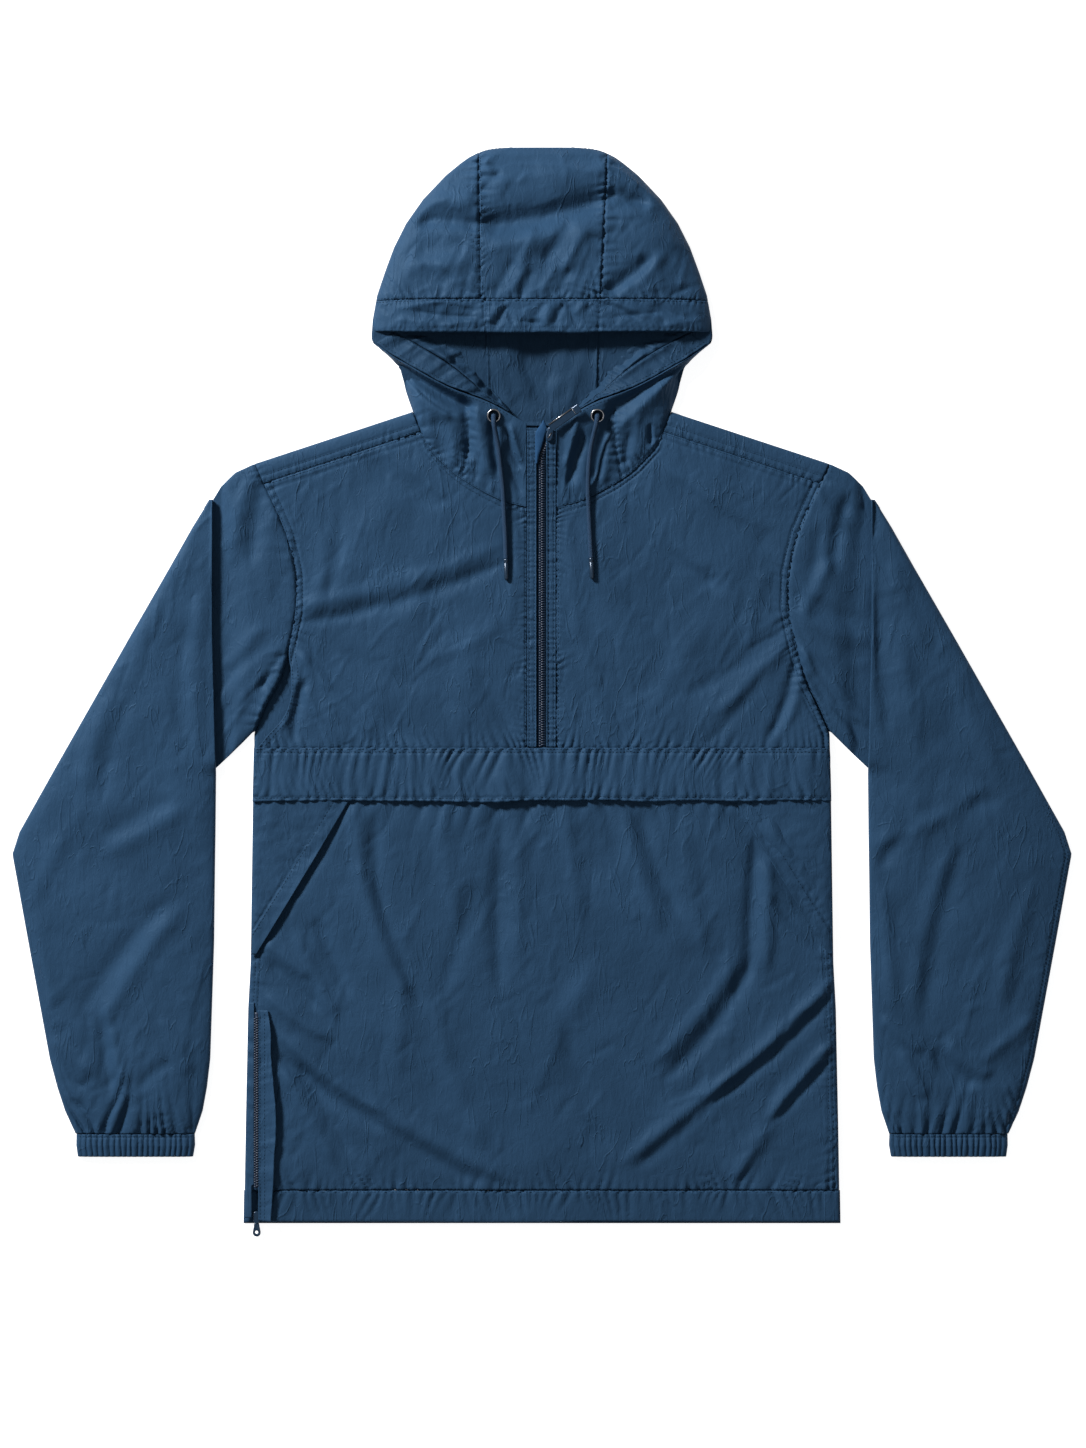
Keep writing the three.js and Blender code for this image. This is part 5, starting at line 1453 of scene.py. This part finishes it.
def make_side_zip():
    y = np.linspace(HEM_EDGE_Y + 4, -286, 121)[:, None]
    inner = np.where(y < HEM_SEAM_Y + 5, SIDE_ZIP_X - 4.4, SIDE_ZIP_X - 2)
    strip = grid_of(mix(-body_half(y) + 1, inner, np.linspace(0, 1, 9)[None, :]), y, side_strip_surface)
    cloth("side_zip_strip", strip, Cut(10, 198, 0.0015), coarse=False)

    def coil_top(x, y):
        return body_top(x, y) + LAYER_STEP

    def tooth_place(y):
        return SIDE_ZIP_X, y, float(coil_top(np.array(SIDE_ZIP_X), np.array(y))) + 0.3

    y = np.linspace(HEM_SEAM_Y + 3, SIDE_ZIP_TOP_Y, 101)[:, None]
    coil = grid_of(SIDE_ZIP_X + np.linspace(-1.4, 1.4, 5)[None, :], y, coil_top)
    cloth("side_zip", coil, Cut(10, 161, 0.00049), slot="zip_coil", coarse=False)
    make_teeth("side_zip_teeth", tooth_place, HEM_SEAM_Y + 4, SIDE_ZIP_TOP_Y - 2)
    make_side_flap()


Flap = namedtuple("Flap", "y width")
SIDE_FLAP = [Flap(HEM_EDGE_Y + 1.5, 12), Flap(-450, 15), Flap(-400, 16), Flap(-340, 13), Flap(-293, 9)]


def make_side_flap():
    """Flap over the side zip, sewn along the zip and free on its other edge, which stands up."""
    low_y, high_y = SIDE_FLAP[0].y, SIDE_FLAP[-1].y
    y = np.linspace(low_y, high_y, 121)[:, None]
    u = np.linspace(0, 1, 21)[None, :]
    width = look_up(SIDE_FLAP, "width", y) + 1.2 * wobble(y, 24, 191)
    x, y = np.broadcast_arrays(SIDE_ZIP_X + 1.8 + width * u, y)
    lift = LAYER_STEP + 0.4 + 3.4 * u**1.6 * smooth((high_y - y) / 20 + 0.15)
    ripple = 0.55 * wobble(y + 2 * u, 9, 193) + 0.35 * wobble(y - 0.3 * x, 4, 195)
    ripple += 0.5 * wobble(y, 21, 197) * u
    grid = grid_of(x, y, body_top(x, y) + lift + ripple * smooth(u * 4))
    cloth("side_zip_flap", grid, Cut(16, 194), wall=1.0, coarse=False)
    sew("body", grid, ("left", 1.6), ("left", 6.0))


def make_side_slider():
    low = CLOTH_WALL + LAYER_GAP
    corners = [(-3.6, -478), (3.6, -478), (3.4, -484), (2.6, -490), (-2.6, -490), (-3.4, -484)]
    outline = softened([(SIDE_ZIP_X + x, y) for x, y in corners])
    slider = rounded_plate("side_slider_body", outline, low, low + 2.9, 0.6)
    fitted(slider, "side_slider")
    pull_low, pull_high = low + 0.8 + LAYER_GAP, low + 2.0 + LAYER_GAP
    long_side = [(2.2, -489.3), (2.6, -492), (3.6, -497)]
    round_end = [(3.6 * math.cos(t), SIDE_PULL_TIP_Y + 3.6 - 3.6 * math.sin(t))
                 for t in np.linspace(-0.1, math.pi + 0.1, 17)]
    outer = np.array([*long_side, *round_end, *mirrored(long_side[::-1], -1)]) + (SIDE_ZIP_X, 0)
    hole = np.array([SIDE_ZIP_X, SIDE_PULL_TIP_Y + 4])
    spokes = outer - hole
    inner = hole + spokes / np.linalg.norm(spokes, axis=1, keepdims=True) * 1.5
    rings = [(outer, pull_low), (outer, pull_high - 0.2), (mix(outer, inner, 0.12), pull_high),
             (mix(inner, outer, 0.12), pull_high), (inner, pull_high - 0.2), (inner, pull_low)]
    form = through_rings([[(*place, z) for place in ring] for ring, z in rings], around=True)
    pull = new_object("side_pull_tab", *form, MATERIALS["painted_metal"])
    fitted(pull, "side_pull", body="side_pull")


# Hood


def make_hood_top():
    rows = shares_for(138, 1.1, 1.8, 6)
    y = mix(CASING_SEAM_Y + SEAM_GAP, CROWN_TOP_Y - 0.3, rows)[:, None]
    half = hood_half(y)
    left = -np.minimum(look_up(CROWN_SEAMS, "left", y), half) + SEAM_GAP / 2
    right = np.minimum(look_up(CROWN_SEAMS, "right", y), half) - SEAM_GAP / 2
    u = shares_for(116, 1.1, 1.8, 6)[None, :]
    x = mix(left, right, u)
    grid = grid_of(x, y, hood_surface)
    cloth("hood_centre", grid, Cut(116, 146), coarse=False)
    for edge in ("left", "right"):
        sew("hood", grid, (edge, 1.6))
    top_y = 494.6
    for name, side in SIDES.items():
        rows = shares_for(124, 1.1, 1.8, 6)
        y = mix(CASING_SEAM_Y + SEAM_GAP, top_y, rows)[:, None]
        half = hood_half(y) * 0.9985
        seam = look_up(CROWN_SEAMS, name, y)
        u = np.sin(math.pi / 2 * np.linspace(0, 1, 67))[None, :]
        x = side * mix(seam - UNDER_LAP, half, u)
        grid = grid_of(x, y, hood_surface)
        grid[:, :, 2] -= 1.3 * smooth(2 - (np.abs(x) - seam + UNDER_LAP) / UNDER_LAP)
        cloth(f"hood_{name}", grid, Cut(98, 134, 0.0098), coarse=False)
        sew("hood", grid, ("left", 1.6), ("bottom", 1.6))


def casing_surface(x, y):
    fade = 0.15 + 0.85 * smooth((1 - hood_across(x, y)) * 8)
    relief = 0.4 * wobble(x + 0.5 * (y - 345) * wobble(x, 40, 201), 8, 203)
    relief += folds(x, y, CASING_FOLDS, 1.5) + rumple(x, y, 15, 0.8, 207)
    relief += crinkles(x, y, 50, 205, lean=20, spread=60, longest=22, height=0.9)
    relief += puckers(x, y, casing_seam(-1), 1.3, 4.6, 6, 209, 0.5)
    relief += puckers(x, y, level_line(BRIM_Y + 3, 160), 0.7, 6, 6, 211, 0.5)
    for side in (-1, 1):
        relief += puckers(x, y, [(side * 51, 325), (side * 54, 362)], 0.8, 6, 10, 213 + side, 1.2)
    return hood_top(x, y) + 0.3 + relief * fade


def make_casing():
    v = np.linspace(0, 1, 25)[:, None]
    u = np.linspace(0, 1, 241)[None, :]
    e = -np.cos(math.pi * mix(u, u * u * (3 - 2 * u), -0.35))
    spread = np.sign(e) * np.abs(e) ** 0.9
    bow = 2 - 3.5 * (1 - spread**2)
    y = mix(BRIM_Y + bow * 0.8 + 0.6 * wobble(spread * 160, 30, 215), CASING_SEAM_Y, v)
    half = hood_half(y) * 0.9985
    x = spread * half
    grid = grid_of(x, y, casing_surface)
    roll = 1 - np.clip(v * 10, 0, 1)
    grid[:, :, 2] -= 1.2 * roll**2
    cloth("hood_casing", grid, Cut(330, 31), wall=1.6, coarse=False)
    sew("hood", grid, ("top", 1.5))


def make_hood_under():
    """The hood's back, which lies on the surface and shows its inside through the face opening."""
    seam_low, seam_high, seam_top_y = 50, 54, 492

    def neck_y(x):
        return back_neck_y(x) - UNDER_LAP

    def under_surface(x, y):
        rise = smooth((360 - y) / 30) * smooth((y - 246) / 12)
        relief = folds(x, y, UNDER_FOLDS) + rumple(x, y, 22, 0.5, 221) + crinkles(x, y, 60, 223, height=0.35)
        for side in (-1, 1):
            relief += puckers(x, y, [(side * 50, 240), (side * 54, 360)], 0.6, 6, 9, 225 + side, 0.4)
        over_back = smooth(2 - (y - neck_y(x)) / UNDER_LAP)
        curl = 4.5 * smooth((np.abs(x) - 14) / 46) * smooth((y - 270) / 30)
        return 1.3 + 1.1 * over_back + np.maximum((relief + curl + 0.7) * rise, 0)

    rows = shares_for(256, 1.6, 2.4, 6)
    v = rows[:, None]
    u = shares_for(110, 1.4, 2.2, 6)[None, :]
    seam_x = mix(seam_low, seam_high, np.clip(v * 1.02, 0, 1))
    seam_x = np.where(v > 0.97, mix(seam_high, seam_high - 4, (v - 0.97) / 0.03), seam_x)
    seam_x = np.where(v > 0.985, mix(seam_high - 5, 30, (v - 0.985) / 0.015), seam_x)
    x = seam_x * (2 * u - 1)
    y = mix(neck_y(x), CROWN_TOP_Y - 0.3, v)
    grid = grid_of(x, y, under_surface)
    grid[:, :, 2] += 1.0 * smooth(2 - (seam_x - np.abs(x)) / UNDER_LAP)
    cloth("hood_under_centre", grid, Cut(112, 256), slot="nylon_inside", wall=0.9)
    silhouette = [*NECK_OUTLINE, *((s.half, s.y) for s in HOOD_SIDES if s.y < 490)]
    outline = [(p[0] - SEAM_GAP, p[1]) for p in silhouette]
    for name, side in SIDES.items():
        shares = np.linspace(0, 1, 101)
        left_y = mix(float(neck_y(np.array(seam_low))), seam_top_y, shares)
        left = np.stack([mix(seam_low, seam_high, shares) - UNDER_LAP, left_y, 0 * shares], axis=1)
        right = resampled(with_depth([(p[0], max(p[1], 0)) for p in outline], 1), shares)
        columns = np.linspace(0, 1, 41)
        bottom = np.stack([mix(left[0, 0], right[0, 0], columns), 0 * columns, 0 * columns], axis=1)
        bottom[:, 1] = neck_y(bottom[:, 0])
        left[0] = bottom[0]
        bottom[-1] = right[0]
        top = mix(left[-1], right[-1], columns[:, None])
        plan = patch(bottom, top, left, right, columns, shares) * (side, 1, 1)
        grid = laid(plan, under_surface)
        cloth(f"hood_under_{name}", grid, Cut(107, 245, 0.0178), slot="nylon_inside", wall=0.9)


def make_neck(name):
    side = SIDES[name]
    shares_u = shares_for(150, 0.9, 1.7, 6)
    shares_v = shares_for(80, 0.9, 1.4, 5)
    grid = neck_base(side, shares_u, shares_v)
    x, y = grid[:, :, 0], grid[:, :, 1]
    u, v = shares_u[None, :], shares_v[:, None]
    inside = smooth(u * 9) * smooth((1 - u) * 14) * smooth(v * 12 + 0.1) * smooth((1 - v) * 9 + 0.15)
    relief = folds(x, y, NECK_FOLDS, 1.7) + rumple(x, y, 18, 0.6, 231 + side)
    relief += rumple(x, y, 8, 0.25, 233 + side)
    relief += crinkles(x, y, 30, 235 + side, lean=90, height=0.6, longest=30)
    relief += puckers(x, y, mirrored(NECK_SEAM, side), 1.4, 8, 12, 237 + side, 0.9)
    drawn_seam = [(side * 66, 262), (side * 67, 228), (side * 74, 192)]
    relief += puckers(x, y, drawn_seam, 1.6, 7, 8, 239 + side, 1.8)
    relief -= 1.6 * np.exp(-(((x - side * 47) / 13) ** 2 + ((y - 250) / 9) ** 2)) * 0.4
    grid[:, :, 2] += relief * inside
    grid[:, :, 2] = np.maximum(grid[:, :, 2], 1.8)
    edge_roll = np.clip(1 - (1 - v) * 14, 0, 1)
    grid[:, :, 2] -= 0.9 * edge_roll**2
    cloth(f"hood_neck_{name}", grid, Cut(160, 90, 0.0098), coarse=False, wall=1.0)
    sew("hood", grid, ("top", 2.2, 0.0, 0.9), ("bottom", 1.5))
    make_neck_inside(name)


def make_neck_inside(name):
    side = SIDES[name]
    count = 91
    edge = curve_through(with_depth(OPENING_EDGE, side), count) + (0, 1.6, -1.2)
    edge = resampled(edge[: int(count * 0.88)], np.linspace(0, 1, count))
    casing = curve_through(with_depth(INNER_CASING, side), count)
    foot = curve_through(with_depth(INNER_FOOT, side), count)

    def rows(start, stop, number):
        return drawn_in(mix(start[None], stop[None], np.linspace(0, 1, number)[:, None, None]))

    hanging = ((f"hood_casing_inner_{name}", rows(edge, casing, 17), Cut(150, 20, 0.0024), 1.4),
               (f"hood_inner_{name}", rows(casing, foot, 25), Cut(130, 34, 0.0031), 1.9))
    own_folds = [f._replace(x0=side * f.x0, x1=side * f.x1, bow=side * f.bow) for f in INNER_FOLDS]
    for node, grid, cut, amount in hanging:
        x, y = grid[:, :, 0], grid[:, :, 1]
        v = np.linspace(0, 1, grid.shape[0])[:, None]
        arc = np.linspace(0, 160, count)[None, :]
        relief = folds(x, y, own_folds) + amount * wobble(arc + 8 * v * wobble(arc, 30, 241), 8, 243 + side)
        relief = relief + 0.6 * amount * wobble(arc - 5 * v, 4, 245 + side) + rumple(x, y, 14, 0.8, 247)
        grid[:, :, 2] += relief * smooth(v * 6 + 0.1) * smooth((1 - v) * 6 + 0.25)
        grid[:, :, 2] = np.maximum(grid[:, :, 2], 2.2)
        cloth(node, grid, cut, slot="nylon_inside", coarse=False, wall=0.7)
        if "casing" in node:
            sew("hood", grid, ("top", 1.5), ("bottom", 3.0))


# Sleeves


def make_upper_sleeve(name):
    side = SIDES[name]
    count = 101
    t = np.linspace(0, 1, count)
    t = mix(t, 0.5 - 0.5 * np.cos(math.pi * t), 0.6)
    armhole = at_stations([(x, y, 0) for x, y in ARMHOLE], t)[:, :2]
    last = UPPER_SLEEVE[-1]
    tuck = np.stack([mix(last.shoulder_x, last.under_x, t), mix(last.shoulder_y, last.under_y, t)], axis=1)
    rings = []
    for along in np.linspace(0, 1.1, 31):
        row = [np.interp(along, [s.along for s in UPPER_SLEEVE], [getattr(s, c) for s in UPPER_SLEEVE])
               for c in Tuck._fields[1:]]
        straight = mix(armhole, tuck, along)
        at_shoulder = np.array(row[:2]) - straight[0]
        at_underarm = np.array(row[2:]) - straight[-1]
        flat = straight + at_shoulder * ((1 - t) ** 4)[:, None] + at_underarm * (t**4)[:, None]
        turned_in = ARMHOLE_LAP * (1 - min(1, along / 0.03))
        x, y = side * (flat[:, 0] - turned_in), flat[:, 1]
        round_off = np.sqrt(1 - np.abs(2 * t - 1) ** 5)
        dip = 4.6 * smooth((along - 0.5) / 0.34)
        relief = folds(x, y, SLEEVE_FOLDS[name]) + rumple(x, y, 24, 0.5, 251 + side)
        relief += crinkles(x, y, 30, 253 + side)
        relief += puckers(x, y, mirrored(ARMHOLE, side), 1.3, 8, 14, 255 + side, 0.6)
        z = mix(BODY_EDGE_HEIGHT, BODY_LOFT, round_off) - dip - turned_in
        z += relief * smooth(round_off * 1.6 - 0.6)
        z = np.clip(z, 1.5, 20 - 16.8 * smooth((along - 0.9) / 0.08))
        top = np.stack([x, y, z], axis=1)
        back = np.linspace(1, 0, 31)
        under = np.stack(np.broadcast_arrays(np.interp(back, t, x), np.interp(back, t, y), 0.15), axis=1)
        rings.append(np.vstack([top, under]))
    grid = np.array(rings)
    cloth(f"sleeve_{name}_upper", grid, Cut(520, 60, 0.0258), ring=True, wall=0.9)
    upper = grid[:, :count]
    sew("sleeves", upper, ("bottom", 1.8))


def sleeve_relief(x, y, name):
    side = SIDES[name]
    relief = folds(x, y, SLEEVE_FOLDS[name])
    relief += rumple(x, y, 40, 1.0, 261 + side) + rumple(x, y, 14, 0.25, 263 + side)
    relief += crinkles(x, y, 130, 265 + side, lean=68 if side < 0 else 70, height=0.8)
    cuff = [(side * 300, CUFF_TOP_Y), (side * 450, CUFF_TOP_Y)]
    relief += puckers(x, y, cuff, 4.4, 11, 30, 267 + side, 0, (0,), 0, 1)
    relief += puckers(x, y, cuff, 1.8, 5, 12, 269 + side, 0, (0,), 0, 1)
    if side > 0:
        outer_seam = [(s.outer - 5, s.y) for s in SLEEVE if s.y < ELBOW_Y]
        relief += puckers(x, y, outer_seam, 0.8, 8, 9, 271, 1.2)
    return relief


def make_lower_sleeve(name):
    side = SIDES[name]
    edge_fine = shares_for(150, 0.9, 2.4, 8)
    y_rows = np.concatenate([[175.6, 172.5], mix(168, -406.7, shares_for(575, 1.4, 2.8, 24))])
    y_rows = y_rows[:len(y_rows) - (len(y_rows) + 1) % 2]
    e = edge_fine[None, :]
    y = y_rows[:, None]
    outer, inner, height = (look_up(SLEEVE, c, y) for c in ("outer", "inner", "height"))
    above = smooth((y - 168) / 8)
    outer = np.where(y > 168, mix(310.2, 305.2, (y - 168) / 8), outer)
    round_off = np.sqrt(1 - np.abs(2 * e - 1) ** 4)
    gather = 2.2 * smooth((-325 - y) / 60)
    x = mix(outer, inner, e)
    fold_side = smooth((y + 78) / 14) * (1 - 0.3 * above)
    edge_height = 3.4 + 5.8 * smooth((e - 0.5) * 2) * fold_side
    z = mix(edge_height, height - gather * 0.2 - above, round_off)
    top = np.stack([side * x, y + 0 * x, z], axis=2)
    fade = 0.18 + 0.82 * smooth(np.minimum(e, 1 - e) * 11)
    relief = sleeve_relief(top[:, :, 0], top[:, :, 1], name)
    top[:, :, 2] = np.maximum(top[:, :, 2] + relief * fade * (1 - above), 2.6)
    depth = np.linspace(0, 1, 33)
    depth = mix(depth, 0.5 - 0.5 * np.cos(math.pi * depth), 0.7)[None, :, None]
    under = mix(top[:, -1:], top[:, :1], depth)
    from_fold = np.abs(under[:, :, 0] - top[:, -1:, 0])
    under[:, :, 2] = 0.15 + 0.25 * (0.5 + 0.5 * noise(under[:, :, 0], under[:, :, 1], 30, 273))
    under[:, :, 2] += 3.3 * fold_side * (1 - smooth((from_fold - 4) / 8))
    under[:, 0, 2] = np.minimum(top[:, -1, 2] - 1.3, under[:, 0, 2] + 0.6)
    under[:, -1, 2] = np.minimum(top[:, 0, 2] - 1.3, under[:, -1, 2] + 0.6)
    grid = np.concatenate([top, under], axis=1)
    cloth(f"sleeve_{name}_lower", grid, Cut(300, 575, 0.165), ring=True, wall=0.6)
    if side > 0:
        sew("sleeves", top, ("left", 4.2, 0.5, 0.98), ("left", 7.6, 0.5, 0.98))


def make_cuff(name):
    """Elastic cuff drawn up into upright ribs, uneven in width and height."""
    side = SIDES[name]
    Section = namedtuple("Section", "y outer inner height")
    sections = [
        Section(CUFF_TOP_Y, 427.8, 319.4, 7.6),
        Section(mix(CUFF_TOP_Y, CUFF_EDGE_Y, 0.5), 428, 319, 8.2),
        Section(CUFF_EDGE_Y, 426.6, 320.8, 7),
    ]
    u = np.linspace(0, 1, CUFF_RIBS * 10 + 1)
    rows = np.linspace(CUFF_EDGE_Y, CUFF_TOP_Y, 23)
    rings = []
    for y in rows:
        outer, inner, height = (float(look_up(sections, c, y)) for c in ("outer", "inner", "height"))
        round_off = np.sqrt(1 - np.abs(2 * u - 1) ** 6)
        uneven = u + 0.008 * wobble(u * 100, 6, 281 + side)
        rib = np.abs(np.sin(math.pi * CUFF_RIBS * uneven)) ** 0.8
        tall = 1.5 + 0.45 * wobble(u * CUFF_RIBS, 1.0, 283 + side)
        down = (CUFF_TOP_Y - y) / (CUFF_TOP_Y - CUFF_EDGE_Y)
        pinned = 1 - 0.55 * math.exp(-((down - 0.12) / 0.05) ** 2)
        low_edge, high_edge = min(1, (1 - down) * 8 + 0.25), min(1, down * 9 + 0.3)
        roll = math.sqrt(1 - (1 - low_edge) ** 2) * math.sqrt(1 - (1 - high_edge) ** 2)
        z = mix(3.2, height - 1.2, round_off) + rib * tall * round_off * pinned
        z = 1.8 + (z - 1.8) * mix(0.78, 1, roll)
        x = mix(outer, inner, u)
        lean = 0.5 * wobble(u * CUFF_RIBS * 3 + 6 * down, 3.2, 285 + side)
        top = np.stack([side * (x + lean * round_off), np.full_like(x, y), z], axis=1)
        back = np.linspace(1, 0, 41)
        under = np.stack(np.broadcast_arrays(side * mix(outer, inner, back), y, 0.15), axis=1)
        rings.append(np.vstack([top, under]))
    grid = np.array(rings)
    cloth(f"cuff_{name}", grid, Cut(300, 21), ring=True, wall=1.0, held="gathered")
    sew("sleeves", grid[:, :len(u)], ("top", 2.4, 0.02, 0.98), pitch=2.6)


make_back()
make_pouch()
make_hem()
make_band()
make_front_zip()
make_side_zip()
make_front_slider()
make_front_pull()
make_side_slider()
make_hood_top()
make_casing()
make_hood_under()
for side_name in SIDES:
    make_front(side_name)
    make_yoke(side_name)
    make_facing(side_name)
    make_placket(side_name)
    make_neck(side_name)
    make_upper_sleeve(side_name)
    make_lower_sleeve(side_name)
    make_cuff(side_name)
for stitch_group in ("body", "hood", "sleeves"):
    make_stitches(stitch_group)


# Floor, light and view


def make_floor():
    """White sheet that glows a little, so that it stays white right up to the cloth."""
    mesh = bpy.data.meshes.new("floor")
    reach = 6
    corners = [(x * reach, y * reach, -0.0005) for x, y in ((-1, -1), (1, -1), (1, 1), (-1, 1))]
    mesh.from_pydata(corners, [], [(0, 1, 2, 3)])
    white = Nodes("floor_white")
    mesh.materials.append(white.finish(
        Base_Color=(0.6, 0.6, 0.6, 1), Roughness=0.9, Emission_Color=(1, 1, 1, 1), Emission_Strength=0.86,
    ))
    floor = bpy.data.objects.new("floor", mesh)
    bpy.context.scene.collection.objects.link(floor)
    floor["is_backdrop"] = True


def make_light(name, place, size, power, aim=(0, 0, 0)):
    data = bpy.data.lights.new(name, "AREA")
    data.shape = "RECTANGLE"
    data.size, data.size_y = size
    data.energy = power
    light = bpy.data.objects.new(name, data)
    light.location = place
    light.rotation_mode = "QUATERNION"
    light.rotation_quaternion = (Vector(aim) - Vector(place)).to_track_quat("-Z", "Y")
    bpy.context.scene.collection.objects.link(light)


def make_world():
    world = bpy.data.worlds.new("world")
    world.use_nodes = True
    background = world.node_tree.nodes["Background"]
    background.inputs["Color"].default_value = (0.95, 0.97, 1.0, 1)
    background.inputs["Strength"].default_value = 0.17
    bpy.context.scene.world = world
    bpy.context.scene.view_settings.view_transform = "Standard"


make_floor()
make_light("key", (-2.6, 2.4, 2.05), (0.8, 0.7), 350)
make_light("fill", (1.0, -1.0, 3.2), (2.0, 2.0), 10)
make_world()

visual_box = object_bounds()
boxes = {"cad": cad_box, "visual": visual_box}
{name: [list(corner) for corner in box] for name, box in boxes.items()}
